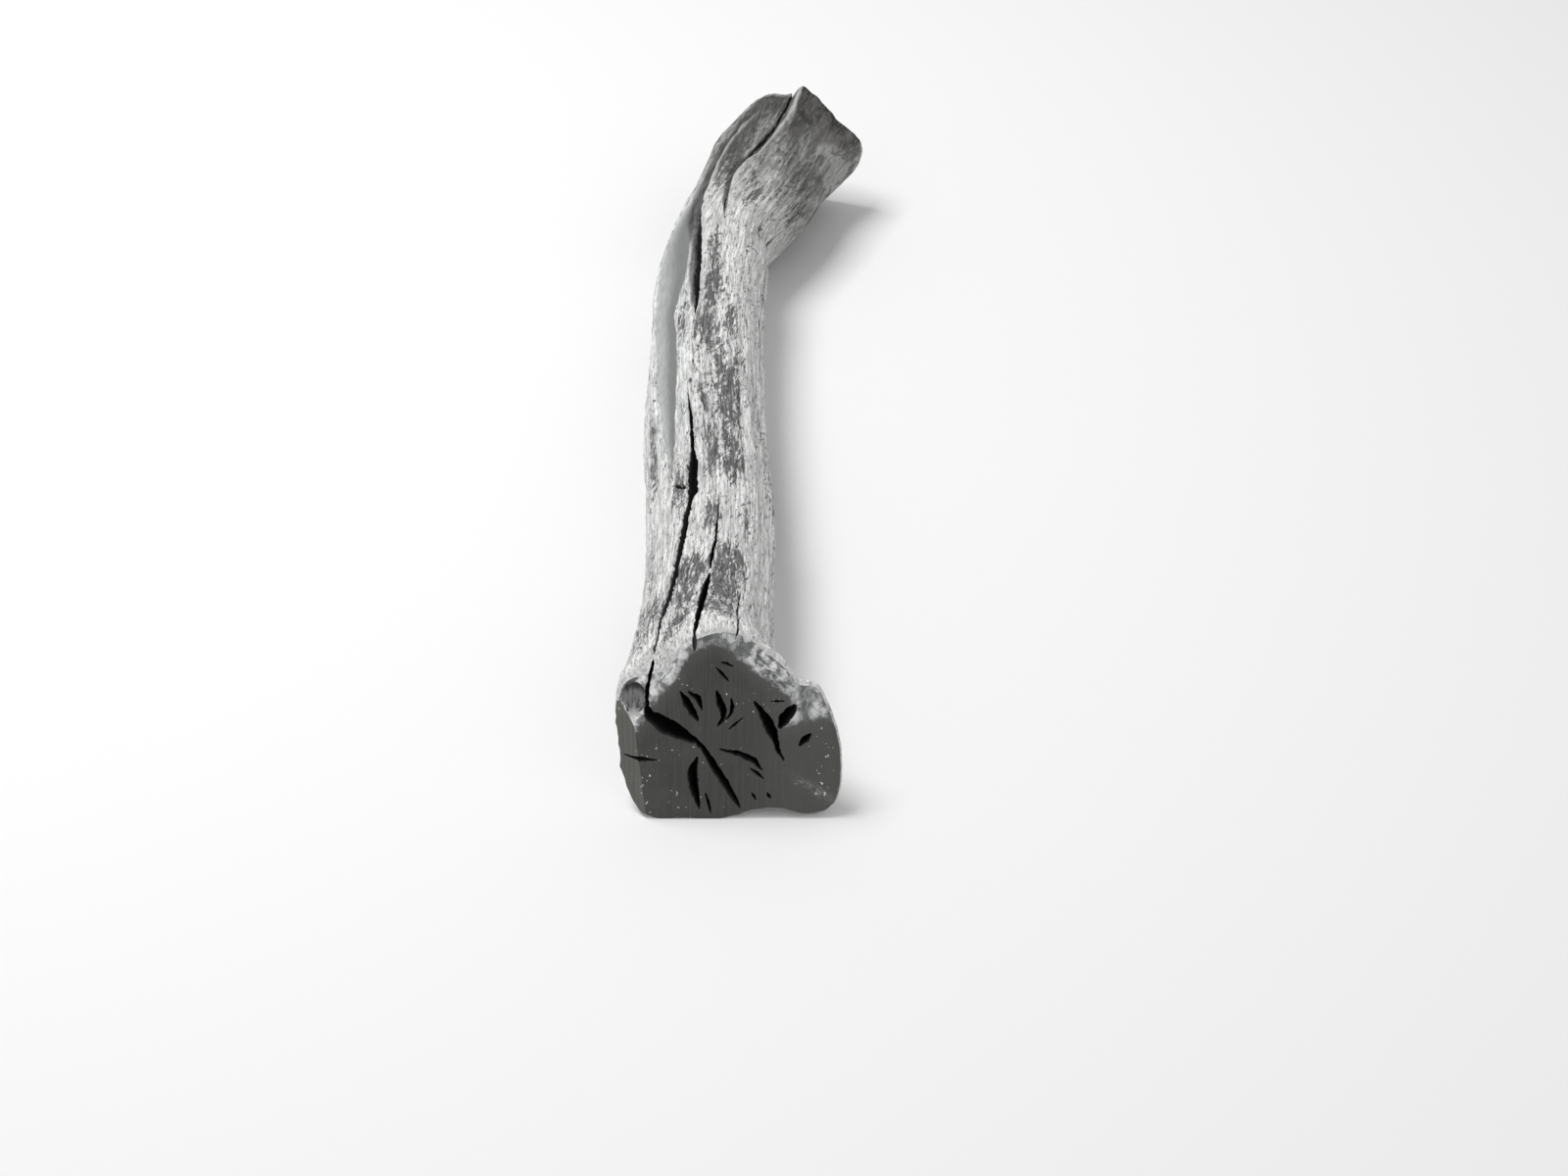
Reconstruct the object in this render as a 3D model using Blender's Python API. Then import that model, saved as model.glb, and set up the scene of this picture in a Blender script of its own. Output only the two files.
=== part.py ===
"""A stick of white charcoal as it comes from the kiln: a bent length of branch, charred through in one piece.

It lies on its side along +Y. The near end is sawn and flares into a foot where a side branch left the
stem, the far end is thicker and turns to +X, and drying cracks open along the grain and from the pith of
both ends. The stick is worked out in millimetres from the foot of the near saw cut, then moved so that the
middle of its box is over the origin and its lowest points are at z = 0.
"""

import math
import random

import bmesh
import bpy
from mathutils import Matrix, Vector

MM = 0.001

# Where the finished origin lies in the working frame.
ORIGIN = (4.52, 137.88, 0)

# Driving sizes, in millimetres and degrees. "Along" runs with y from the foot of the near saw cut, and
# "around" turns from the right-hand side (0) over the top (90) to the left (180) and the underside (270).
LENGTH = 272.0
SAW_TILT = 20.0
SAW_TILT_FADES = 40.0
RIM_ROUND = 1.2
WORN_RIM_ROUND = 3.6
WORN_RIM_AROUND = 128
WORN_RIM_REACH = 28

# The centre line, as (along, x, z), and the stick's mean radius along it, as (along, radius).
CENTRE_LINE = (
    (-20, -6.6, 23.2),
    (10, -6.6, 23.0),
    (30, -6.7, 22.6),
    (55, -6.0, 22.0),
    (90, -5.9, 21.4),
    (127, -7.6, 20.7),
    (160, -7.7, 20.0),
    (184, -7.4, 19.5),
    (202, -6.0, 19.1),
    (216, -4.2, 18.8),
    (230, 0.6, 18.6),
    (245, 6.0, 18.5),
    (259, 9.8, 18.5),
    (272, 13.4, 18.6),
    (300, 21.4, 18.8),
)
GIRTH = (
    (-20, 16.2),
    (10, 16.2),
    (30, 15.7),
    (55, 14.5),
    (90, 14.5),
    (127, 14.1),
    (160, 13.8),
    (184, 13.8),
    (202, 14.0),
    (216, 13.5),
    (230, 14.4),
    (245, 15.9),
    (259, 16.2),
    (272, 16.6),
    (300, 16.6),
)

# The outline of each end about the centre line, as (around, radius, how far it reaches along the stick).
NEAR_END = (
    (6, 29.2, 11),
    (12, 27.4, 10),
    (17, 24.0, 9),
    (22, 23.2, 10),
    (41, 21.0, 16),
    (57, 20.8, 20),
    (74, 20.0, 22),
    (89, 18.4, 22),
    (102, 16.6, 22),
    (128, 15.0, 18),
    (146, 16.6, 16),
    (161, 19.0, 20),
    (183, 19.2, 22),
    (206, 20.8, 22),
    (227, 24.8, 20),
    (241, 25.9, 20),
    (262, 23.6, 22),
    (288, 24.3, 24),
    (300, 25.0, 24),
    (312, 28.4, 22),
    (317, 32.6, 20),
    (323, 35.8, 17),
    (328, 36.6, 15),
    (335, 35.6, 13),
    (343, 34.0, 12),
    (352, 32.2, 11),
)
FAR_END = (
    (0, 22.6, 12),
    (22, 21.6, 12),
    (45, 20.6, 13),
    (64, 20.2, 13),
    (88, 16.2, 14),
    (115, 14.9, 14),
    (150, 14.2, 12),
    (180, 14.6, 12),
    (210, 15.6, 14),
    (240, 17.0, 16),
    (270, 17.4, 16),
    (300, 18.2, 14),
    (330, 20.0, 12),
    (350, 22.0, 12),
)

# What else stands out from the round: (along, around, height, reach along, reach around).
SWELLINGS = (
    (244, 256, 3.6, 20, 34),
    (214, 2, -1.2, 12, 40),
    (150, 262, 1.6, 40, 50),
    (120, 190, 0.7, 40, 40),
    (66, 20, 0.7, 20, 45),
)

# Smooth hollows and ridges that follow the grain, as (depth, path). The path is (along, around, reach
# around) rows, and a negative depth is a ridge.
FLUTES = (
    (
        2.2,
        (
            (80, 128, 7),
            (104, 129, 9),
            (126, 131, 14),
            (146, 133, 18),
            (168, 133, 20),
            (186, 131, 19),
            (204, 124, 13),
        ),
    ),
    (-1.2, ((112, 147, 6), (136, 156, 7), (156, 161, 7), (181, 166, 8), (202, 170, 8), (222, 172, 8))),
    (1.1, ((206, 90, 11), (222, 99, 11), (232, 101, 11), (243, 96, 11), (254, 91, 11), (276, 90, 11))),
    (-0.9, ((208, 82, 9), (230, 84, 9), (243, 78, 9), (254, 72, 9), (276, 71, 9))),
    (1.6, ((30, 222, 12), (90, 228, 12), (140, 236, 12), (200, 240, 12))),
    (1.3, ((50, 318, 12), (110, 312, 12), (170, 306, 12), (230, 300, 12))),
)
FLUTE_FADES = 26

# Ribs that run the whole length: (ribs round the stick, height, phase, twist in degrees over the length).
RIBS = (
    (5, 0.34, 20, 30),
    (8, 0.26, 75, -24),
    (11, 0.18, 140, 36),
)

# Flat cuts at the ends, as (point, normal, reach from the point): the bevel down the left of the near saw
# cut, and the break on the upper right of the far end.
NEAR_BEVEL = ((-21.4, 7.4, 20.3), (-0.62, -0.76, 0.21), 60)
FAR_BREAK = ((28.6, 271.5, 28.5), (0.66, -0.16, 0.735), 40)

# The chip out of the upper left of the near rim: its middle, as (x, height up the saw cut, in from the saw
# cut), and its half sizes in the same order.
CHIP_MIDDLE = (-21.7, 29.2, 0.6)
CHIP_SIZE = (2.9, 3.8, 3.4)

# Drying cracks in the side, as (depth, path) with (along, around, width) rows. The first seven are in the
# photo's view, and the rest are on the sides that it hides.
SIDE_CRACKS = (
    (
        5.5,
        (
            (124, 107.2, 0.2),
            (117, 106, 0.5),
            (110, 105.5, 0.8),
            (97, 105.5, 1.1),
            (93.5, 105.5, 1.4),
            (91.5, 105, 2.2),
            (85.7, 105.8, 2.4),
            (78.5, 105.2, 2.4),
            (76.5, 107, 1.4),
            (65, 111.2, 1.7),
            (54, 115.3, 1.6),
            (42, 118.2, 1.4),
            (32, 121.5, 1.15),
            (19, 126, 1.3),
            (7, 133, 1.0),
            (-3, 137.5, 1.2),
        ),
    ),
    (4.5, ((76, 79, 0.15), (68, 79, 0.4), (60, 79.7, 0.6), (51, 82.7, 0.8), (45.5, 84, 0.4))),
    (
        4.5,
        (
            (43.5, 85, 0.4),
            (41, 85.5, 1.2),
            (37, 86.3, 1.6),
            (26, 88.7, 1.6),
            (12, 90.5, 1.5),
            (5, 92, 1.3),
            (-3, 95, 0.9),
        ),
    ),
    (2.5, ((40, 54, 0.2), (34, 56, 0.5), (12, 63, 0.6), (-3, 65, 0.5))),
    (
        4.0,
        (
            (238, 129, 0.3),
            (222, 121, 1.2),
            (208, 111.5, 1.6),
            (195, 106, 2.2),
            (183, 103.5, 2.3),
            (170, 101.5, 1.8),
            (159, 101.5, 0.3),
        ),
    ),
    (1.6, ((198, 50, 0.2), (199.3, 38, 0.6), (200.5, 27, 0.2))),
    (
        2.2,
        (
            (209, 88, 0.2),
            (216, 91, 1.0),
            (222, 96, 1.2),
            (232, 98, 1.4),
            (243, 91, 1.8),
            (254, 85, 2.0),
            (265, 82.5, 2.2),
            (278, 82, 2.3),
        ),
    ),
    (4.0, ((48, 352, 0.2), (80, 347, 1.0), (112, 344, 1.2), (146, 339, 0.2))),
    (3.0, ((150, 14, 0.2), (176, 10, 0.8), (204, 7, 0.9), (226, 3, 0.2))),
    (5.0, ((26, 258, 0.3), (60, 264, 1.5), (96, 269, 1.8), (128, 273, 1.1), (152, 275, 0.2))),
    (3.5, ((112, 207, 0.2), (142, 203, 1.0), (176, 199, 1.2), (210, 195, 0.2))),
    (3.0, ((12, 214, 0.9), (40, 209, 0.8), (78, 205, 0.2))),
    (3.5, ((178, 287, 0.2), (206, 292, 1.1), (232, 297, 0.2))),
)

# Drying cracks in the near saw cut, as (depth, path) with (x, height up the cut, width) rows.
NEAR_CRACKS = (
    (
        8.0,
        (
            (-19.6, 30.0, 1.5),
            (-18.6, 25.6, 2.6),
            (-16.2, 22.6, 3.6),
            (-12.6, 20.2, 2.9),
            (-6.8, 18.4, 0.9),
            (-5.0, 16.2, 1.2),
            (-2.8, 13.2, 1.2),
            (-0.6, 9.4, 1.3),
            (0.8, 5.6, 1.1),
            (2.4, 3.0, 0.3),
        ),
    ),
    (6.0, ((-7.2, 15.2, 0.3), (-8.4, 11.4, 1.9), (-7.9, 7.2, 1.7), (-6.8, 2.4, 0.3))),
    (4.0, ((-5.4, 6.4, 0.2), (-4.7, 3.8, 0.6), (-4.2, 1.4, 0.2))),
    (5.0, ((-2.1, 17.0, 0.3), (2.4, 15.9, 1.1), (5.8, 14.2, 1.1), (7.6, 11.9, 0.3))),
    (4.0, ((4.8, 12.4, 0.2), (6.4, 11.2, 0.8), (8.0, 9.8, 0.2))),
    (8.0, ((5.8, 28.8, 0.8), (7.6, 24.4, 2.8), (9.8, 19.6, 2.4), (11.6, 16.2, 1.0), (12.6, 14.0, 0.3))),
    (5.5, ((-11.2, 31.6, 0.3), (-9.2, 28.6, 1.1), (-7.8, 25.7, 1.2), (-6.9, 24.3, 0.3))),
    (5.5, ((-9.4, 31.4, 0.3), (-7.2, 29.8, 1.0), (-5.9, 27.0, 0.3))),
    (5.5, ((-2.8, 31.6, 0.3), (-1.6, 29.2, 1.5), (-1.4, 27.2, 1.4), (-2.6, 23.4, 0.3))),
    (4.0, ((0.6, 29.8, 0.2), (0.9, 28.0, 0.9), (0.6, 26.4, 0.2))),
    (3.0, ((0.0, 21.8, 0.2), (1.6, 23.2, 0.5), (3.2, 24.6, 0.2))),
    (4.0, ((-2.8, 36.8, 0.2), (-1.4, 35.2, 0.8), (0.1, 33.4, 0.2))),
    (3.0, ((-1.7, 38.0, 0.2), (-0.3, 37.6, 0.6), (1.2, 37.0, 0.2))),
    (3.0, ((-24.6, 15.1, 0.5), (-20.4, 15.2, 0.5), (-16.4, 14.8, 0.2))),
    (3.0, ((9.6, 28.6, 0.2), (11.2, 28.7, 0.6), (12.8, 28.6, 0.2))),
    (9.0, ((11.6, 22.0, 0.6), (12.6, 24.2, 2.2), (14.2, 26.4, 2.4), (15.6, 28.4, 1.0))),
    (5.0, ((16.0, 17.8, 0.3), (17.4, 19.4, 1.5), (18.8, 20.8, 0.3))),
)

# Drying cracks in the far saw cut, spread from its pith: how many, their depth, and the range of widths.
FAR_CRACKS = 13
FAR_CRACK_DEPTH = 6.0
FAR_CRACK_WIDTHS = (0.5, 1.5)

# The shape of every crack: steps along it, side to side wander, how far its cutter stands out of the
# surface, and the width of its root as a share of its mouth.
CRACK_STEP = 5.0
CRACK_WANDER = 0.22
CRACK_STAND_OUT = 1.5
CRACK_ROOT = 0.22
CRACK_SEED = 21

# The ash coat's colour, linear, and its roughness.
ASH = (0.37, 0.38, 0.37, 1)
ASH_ROUGHNESS = 0.92

# The mesh: columns round the stick, and rings along it, closer where the ends are rounded off.
COLUMNS = 60
RING_STEP = 6.0
END_RINGS = (0.0, 0.4, 1.2, 2.6, 4.6)


def between(table, along, column=1):
    """A smooth value from a table of (along, value, ...), by a Catmull-Rom curve through its rows."""
    last = len(table) - 2
    row = next((i for i in range(last) if along < table[i + 1][0]), last)
    low, high = table[row], table[row + 1]
    before = table[max(row - 1, 0)]
    after = table[min(row + 2, len(table) - 1)]
    span = high[0] - low[0]
    slope_low = (high[column] - before[column]) / (high[0] - before[0]) * span
    slope_high = (after[column] - low[column]) / (after[0] - low[0]) * span
    t = (along - low[0]) / span
    return (
        (2 * t**3 - 3 * t**2 + 1) * low[column]
        + (t**3 - 2 * t**2 + t) * slope_low
        + (3 * t**2 - 2 * t**3) * high[column]
        + (t**3 - t**2) * slope_high
    )


def centre(along):
    return Vector((between(CENTRE_LINE, along, 1), along, between(CENTRE_LINE, along, 2)))


def section_axes(along):
    """The directions to the right and up, square to the centre line."""
    ahead = (centre(along + 3) - centre(along - 3)).normalized()
    right = ahead.cross(Vector((0, 0, 1))).normalized()
    return right, right.cross(ahead)


def turn_between(around, middle):
    """The angle from middle to around, from -180 to 180."""
    return (around - middle + 180) % 360 - 180


def hump(distance):
    return math.exp(-distance * distance)


def fade(value, start, end):
    """0 before start, 1 after end, and smooth between them."""
    t = min(max((value - start) / (end - start), 0), 1)
    return t * t * (3 - 2 * t)


def closed(table):
    """The rows of an end's outline, with the first and last two repeated a full turn on."""
    before = [(row[0] - 360, *row[1:]) for row in table[-2:]]
    after = [(row[0] + 360, *row[1:]) for row in table[:2]]
    return (*before, *table, *after)


NEAR_OUTLINE = closed(NEAR_END)
FAR_OUTLINE = closed(FAR_END)


def radius(along, around):
    """How far the surface stands from the centre line."""
    size = between(GIRTH, along)
    size *= 1 + 0.035 * math.cos(math.radians(2 * around - 50 + 0.35 * along))
    size *= 1 + 0.025 * math.cos(math.radians(3 * around + 80 - 0.5 * along))
    for at, middle, height, reach_along, reach_around in SWELLINGS:
        turn = turn_between(around, middle)
        size += height * hump((along - at) / reach_along) * hump(turn / reach_around)
    for count, height, phase, twist in RIBS:
        turn = count * around + phase + count * twist * along / LENGTH
        size += height * math.cos(math.radians(turn))
    for outline, inside in ((NEAR_OUTLINE, along), (FAR_OUTLINE, LENGTH - along)):
        share = hump(max(inside, 0) / between(outline, around, 2))
        size += (between(outline, around, 1) - size) * share
    for depth, path in FLUTES:
        first, last = path[0][0], path[-1][0]
        there = fade(along, first - 4, first + FLUTE_FADES)
        if last < LENGTH:
            there *= 1 - fade(along, last - FLUTE_FADES, last + 4)
        if there:
            place = min(max(along, first), last)
            turn = turn_between(around, between(path, place, 1))
            size -= depth * there * hump(turn / between(path, place, 2))
    return size


def rounded_off(along, around):
    """How much of the radius the worn rims of the two saw cuts take away."""
    rim = RIM_ROUND
    if along < LENGTH / 2:
        rim += (WORN_RIM_ROUND - rim) * hump(turn_between(around, WORN_RIM_AROUND) / WORN_RIM_REACH)
    inside = min(along, LENGTH - along)
    if inside >= rim:
        return 0
    return rim - math.sqrt(rim**2 - (rim - max(inside, 0)) ** 2)


def outward(along, around):
    """The direction straight away from the centre line."""
    right, up = section_axes(along)
    angle = math.radians(around)
    return math.cos(angle) * right + math.sin(angle) * up


def surface(along, around):
    """The point of the side that lies there, with the near end leant back to its saw cut."""
    size = radius(along, around) - rounded_off(along, around)
    point = centre(along) + size * outward(along, around)
    point.y += point.z * math.tan(math.radians(SAW_TILT)) * (1 - fade(along, 0, SAW_TILT_FADES))
    return point


def ring_places():
    first, last = END_RINGS[-1], LENGTH - END_RINGS[-1]
    steps = round((last - first) / RING_STEP)
    middle = [first + (last - first) * i / steps for i in range(1, steps)]
    return [*END_RINGS, *middle, *(LENGTH - inside for inside in reversed(END_RINGS))]


def stick_mesh():
    """The stick before its cracks: rings of points joined by quads, with a flat face on each end."""
    bm = bmesh.new()
    rings = []
    for along in ring_places():
        turns = (360 * column / COLUMNS for column in range(COLUMNS))
        rings.append([bm.verts.new(surface(along, around)) for around in turns])
    for ring, following in zip(rings, rings[1:]):
        for i in range(COLUMNS):
            j = (i + 1) % COLUMNS
            bm.faces.new((ring[i], ring[j], following[j], following[i]))
    bm.faces.new(reversed(rings[0]))
    bm.faces.new(rings[-1])
    bmesh.ops.recalc_face_normals(bm, faces=bm.faces)
    return bm


def slice_off(bm, point, normal, reach=math.inf):
    """Cuts away what is beyond a plane and within reach of the point, and closes the cut with a flat face."""
    verts = [v for v in bm.verts if (v.co - Vector(point)).length < reach]
    near = set(verts)
    edges = [e for e in bm.edges if near.issuperset(e.verts)]
    faces = [f for f in bm.faces if near.issuperset(f.verts)]
    cut = bmesh.ops.bisect_plane(
        bm,
        geom=[*verts, *edges, *faces],
        dist=1e-5,
        plane_co=point,
        plane_no=Vector(normal).normalized(),
        clear_outer=True,
    )
    edges = [e for e in cut["geom_cut"] if isinstance(e, bmesh.types.BMEdge)]
    bmesh.ops.holes_fill(bm, edges=edges)
    bmesh.ops.recalc_face_normals(bm, faces=bm.faces)


def between_rows(rows, step):
    """The rows of a path with more put between them, at most a step apart and in even shares."""
    dense = [rows[0]]
    for low, high in zip(rows, rows[1:]):
        parts = max(1, math.ceil(math.dist(low[:2], high[:2]) / step))
        dense += [[a + (b - a) * i / parts for a, b in zip(low, high)] for i in range(1, parts + 1)]
    return dense


def add_wedge(bm, places, depth):
    """Adds a crack's cutter. Places is (point, outward, width) along its mouth, and its root is depth deep."""
    sections = []
    for i, (point, away, width) in enumerate(places):
        before = places[max(i - 1, 0)][0]
        after = places[min(i + 1, len(places) - 1)][0]
        side = (after - before).cross(away).normalized()
        point = point + side * random.uniform(-CRACK_WANDER, CRACK_WANDER) * min(1, width)
        half = 0.5 * width * random.uniform(0.82, 1.18)
        end = i in (0, len(places) - 1)
        root = point - away * (0.5 * depth if end else depth)
        lip = point + away * CRACK_STAND_OUT
        flare = half * (1 + (1 - CRACK_ROOT) * CRACK_STAND_OUT / depth)
        narrow = half * CRACK_ROOT
        corners = (lip - side * flare, lip + side * flare, root + side * narrow, root - side * narrow)
        sections.append([bm.verts.new(corner) for corner in corners])
    for section, following in zip(sections, sections[1:]):
        for i in range(4):
            j = (i + 1) % 4
            bm.faces.new((section[i], section[j], following[j], following[i]))
    bm.faces.new(reversed(sections[0]))
    bm.faces.new(sections[-1])


def side_crack(bm, depth, path):
    rows = between_rows(path, CRACK_STEP)
    add_wedge(bm, [(surface(*row[:2]), outward(*row[:2]), row[2]) for row in rows], depth)


def on_saw_cut(x, height):
    """The point of the near saw cut that is that far up its slope."""
    lean = math.radians(SAW_TILT)
    return Vector((x, height * math.sin(lean), height * math.cos(lean)))


def near_crack(bm, depth, path):
    lean = math.radians(SAW_TILT)
    away = Vector((0, -math.cos(lean), math.sin(lean)))
    rows = between_rows(path, CRACK_STEP / 2)
    add_wedge(bm, [(on_saw_cut(x, height), away, width) for x, height, width in rows], depth)


def far_crack(bm, around):
    """A crack from near the far pith out towards the bark."""
    right, up = section_axes(LENGTH)
    direction = math.cos(math.radians(around)) * right + math.sin(math.radians(around)) * up
    away = up.cross(right)
    first = random.uniform(3.0, 6.0)
    last = random.uniform(0.5, 0.84) * min(radius(LENGTH, around), 16)
    width = random.uniform(*FAR_CRACK_WIDTHS)
    shares = ((0.0, 0.3), (0.3, 1.0), (0.65, 0.8), (1.0, 0.2))
    places = []
    for share, part in shares:
        point = centre(LENGTH) + direction * (first + (last - first) * share)
        places.append((point, away, width * part))
    add_wedge(bm, places, FAR_CRACK_DEPTH)


def chip_cutter(bm):
    x, height, inwards = CHIP_MIDDLE
    lean = math.radians(SAW_TILT)
    middle = on_saw_cut(x, height) + Vector((0, math.cos(lean), -math.sin(lean))) * inwards
    lie = Matrix.Translation(middle) @ Matrix.Rotation(-lean, 4, "X")
    size = Matrix.Diagonal((CHIP_SIZE[0], CHIP_SIZE[2], CHIP_SIZE[1], 1))
    bmesh.ops.create_icosphere(bm, subdivisions=2, radius=1, matrix=lie @ size)


def add_object(name, bm):
    """Moves a mesh from working millimetres to the finished frame, and puts it in the scene.

    It is made of triangles, since a Boolean of quads that aren't flat leaves splinters.
    """
    bmesh.ops.recalc_face_normals(bm, faces=bm.faces)
    bmesh.ops.triangulate(bm, faces=bm.faces)
    bmesh.ops.transform(bm, matrix=Matrix.Scale(MM, 4) @ Matrix.Translation(-Vector(ORIGIN)), verts=bm.verts)
    mesh = bpy.data.meshes.new(name)
    bm.to_mesh(mesh)
    bm.free()
    placed = bpy.data.objects.new(name, mesh)
    bpy.context.scene.collection.objects.link(placed)
    return placed


def cut_away(stick, name, bm):
    """Takes the cutter out of the stick, and keeps it hidden."""
    cutter = add_object(name, bm)
    cutter.hide_render = True
    cutter.display_type = "WIRE"
    cut = stick.modifiers.new(name, "BOOLEAN")
    cut.operation = "DIFFERENCE"
    cut.solver = "EXACT"
    cut.object = cutter


def ash_material():
    material = bpy.data.materials.new("ash_coated_charcoal")
    material.use_nodes = True
    shader = material.node_tree.nodes["Principled BSDF"]
    shader.inputs["Base Color"].default_value = ASH
    shader.inputs["Roughness"].default_value = ASH_ROUGHNESS
    return material


def main():
    for old in list(bpy.data.objects):
        bpy.data.objects.remove(old)
    random.seed(CRACK_SEED)
    bm = stick_mesh()
    slice_off(bm, *NEAR_BEVEL)
    slice_off(bm, *FAR_BREAK)
    slice_off(bm, (0, 0, 0), (0, 0, -1))
    stick = add_object("charcoal_stick", bm)
    stick.data.materials.append(ash_material())

    bm = bmesh.new()
    chip_cutter(bm)
    cut_away(stick, "chip_cutter", bm)
    bm = bmesh.new()
    for depth, path in SIDE_CRACKS:
        side_crack(bm, depth, path)
    cut_away(stick, "side_crack_cutter", bm)
    bm = bmesh.new()
    for depth, path in NEAR_CRACKS:
        near_crack(bm, depth, path)
    cut_away(stick, "near_crack_cutter", bm)
    bm = bmesh.new()
    for i in range(FAR_CRACKS):
        far_crack(bm, 360 * i / FAR_CRACKS + random.uniform(-8, 8))
    cut_away(stick, "far_crack_cutter", bm)


main()
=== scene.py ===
"""The looks of the charcoal stick: its ash coat, bare sawn ends and drying cracks, on a pale floor."""

import math

import bmesh
import bpy
import numpy as np
from mathutils import Euler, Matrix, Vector


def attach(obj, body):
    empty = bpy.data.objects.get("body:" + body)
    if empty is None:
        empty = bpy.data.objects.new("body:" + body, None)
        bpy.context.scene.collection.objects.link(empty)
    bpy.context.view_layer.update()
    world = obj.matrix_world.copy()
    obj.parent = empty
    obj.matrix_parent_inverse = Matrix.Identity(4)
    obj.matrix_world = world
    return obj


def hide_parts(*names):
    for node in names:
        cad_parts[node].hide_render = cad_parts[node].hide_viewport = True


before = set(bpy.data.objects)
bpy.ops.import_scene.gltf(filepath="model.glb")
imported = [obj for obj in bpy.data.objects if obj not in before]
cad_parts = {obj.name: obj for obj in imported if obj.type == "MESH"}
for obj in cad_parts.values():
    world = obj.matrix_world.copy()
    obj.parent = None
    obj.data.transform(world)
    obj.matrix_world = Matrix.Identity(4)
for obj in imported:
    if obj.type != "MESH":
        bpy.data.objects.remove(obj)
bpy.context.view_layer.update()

MM = 0.001

# The middle of the finished frame, in a working frame that has its zero at the foot of the near saw cut.
ORIGIN = np.array((4.52, 137.88, 0.0))

# The sizes down to the far cracks repeat the part's own, in millimetres and degrees, with the cracks shaped
# a little more closely. "Along" runs with y from the foot of the near saw cut, and
# "around" turns from the right-hand side (0) over the top (90) to the left (180) and the underside (270).
LENGTH = 272.0
SAW_TILT = 20.0
SAW_TILT_FADES = 40.0
RIM_ROUND = 1.2
WORN_RIM_ROUND = 3.6
WORN_RIM_AROUND = 128
WORN_RIM_REACH = 28

# The centre line and the stick's mean radius along it, as (along, x, z, radius).
CENTRE_LINE = (
    (-20, -6.6, 23.2, 16.2), (10, -6.6, 23.0, 16.2), (30, -6.7, 22.6, 15.7), (55, -6.0, 22.0, 14.5),
    (90, -5.9, 21.4, 14.5), (127, -7.6, 20.7, 14.1), (160, -7.7, 20.0, 13.8), (184, -7.4, 19.5, 13.8),
    (202, -6.0, 19.1, 14.0), (216, -4.2, 18.8, 13.5), (230, 0.6, 18.6, 14.4), (245, 6.0, 18.5, 15.9),
    (259, 9.8, 18.5, 16.2), (272, 13.4, 18.6, 16.6), (300, 21.4, 18.8, 16.6),
)

# The outline of each end about the centre line, as (around, radius, how far it reaches along the stick).
NEAR_END = (
    (6, 29.2, 11), (12, 27.4, 10), (17, 24.0, 9), (22, 23.2, 10), (41, 21.0, 16), (57, 20.8, 20),
    (74, 20.0, 22), (89, 18.4, 22), (102, 16.6, 22), (128, 15.0, 18), (146, 16.6, 16), (161, 19.0, 20),
    (183, 19.2, 22), (206, 20.8, 22), (227, 24.8, 20), (241, 25.9, 20), (262, 23.6, 22), (288, 24.3, 24),
    (300, 25.0, 24), (312, 28.4, 22), (317, 32.6, 20), (323, 35.8, 17), (328, 36.6, 15), (335, 35.6, 13),
    (343, 34.0, 12), (352, 32.2, 11),
)
FAR_END = (
    (0, 22.6, 12), (22, 21.6, 12), (45, 20.6, 13), (64, 20.2, 13), (88, 16.2, 14), (115, 14.9, 14),
    (150, 14.2, 12), (180, 14.6, 12), (210, 15.6, 14), (240, 17.0, 16), (270, 17.4, 16), (300, 18.2, 14),
    (330, 20.0, 12), (350, 22.0, 12),
)

# What else stands out from the round: (along, around, height, reach along, reach around).
SWELLINGS = (
    (244, 256, 3.6, 20, 34),
    (214, 2, -1.2, 12, 40),
    (150, 262, 1.6, 40, 50),
    (120, 190, 0.7, 40, 40),
    (66, 20, 0.7, 20, 45),
)

# Smooth hollows and ridges that follow the grain, as (depth, path). The path is (along, around, reach
# around) rows, and a negative depth is a ridge.
FLUTES = (
    (
        2.2,
        (
            (80, 128, 7), (104, 129, 9), (126, 131, 14), (146, 133, 18), (168, 133, 20), (186, 131, 19),
            (204, 124, 13),
        ),
    ),
    (-1.2, ((112, 147, 6), (136, 156, 7), (156, 161, 7), (181, 166, 8), (202, 170, 8), (222, 172, 8))),
    (1.1, ((206, 90, 11), (222, 99, 11), (232, 101, 11), (243, 96, 11), (254, 91, 11), (276, 90, 11))),
    (-0.9, ((208, 82, 9), (230, 84, 9), (243, 78, 9), (254, 72, 9), (276, 71, 9))),
    (1.6, ((30, 222, 12), (90, 228, 12), (140, 236, 12), (200, 240, 12))),
    (1.3, ((50, 318, 12), (110, 312, 12), (170, 306, 12), (230, 300, 12))),
)
FLUTE_FADES = 26

# Ribs that run the whole length: (ribs round the stick, height, phase, twist in degrees over the length).
RIBS = (
    (5, 0.34, 20, 30),
    (8, 0.26, 75, -24),
    (11, 0.18, 140, 36),
)

# Flat cuts at the ends, as (point, normal, reach from the point): the bevel down the left of the near saw
# cut, and the break on the upper right of the far end.
NEAR_BEVEL = ((-21.4, 7.4, 20.3), (-0.62, -0.76, 0.21), 60)
FAR_BREAK = ((28.6, 271.5, 28.5), (0.66, -0.16, 0.735), 40)

# The chip out of the upper left of the near rim: its middle, as (x, height up the saw cut, in from the saw
# cut), and its half sizes in the same order.
CHIP_MIDDLE = (-21.7, 29.2, 0.6)
CHIP_SIZE = (2.9, 3.8, 3.4)

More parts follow.
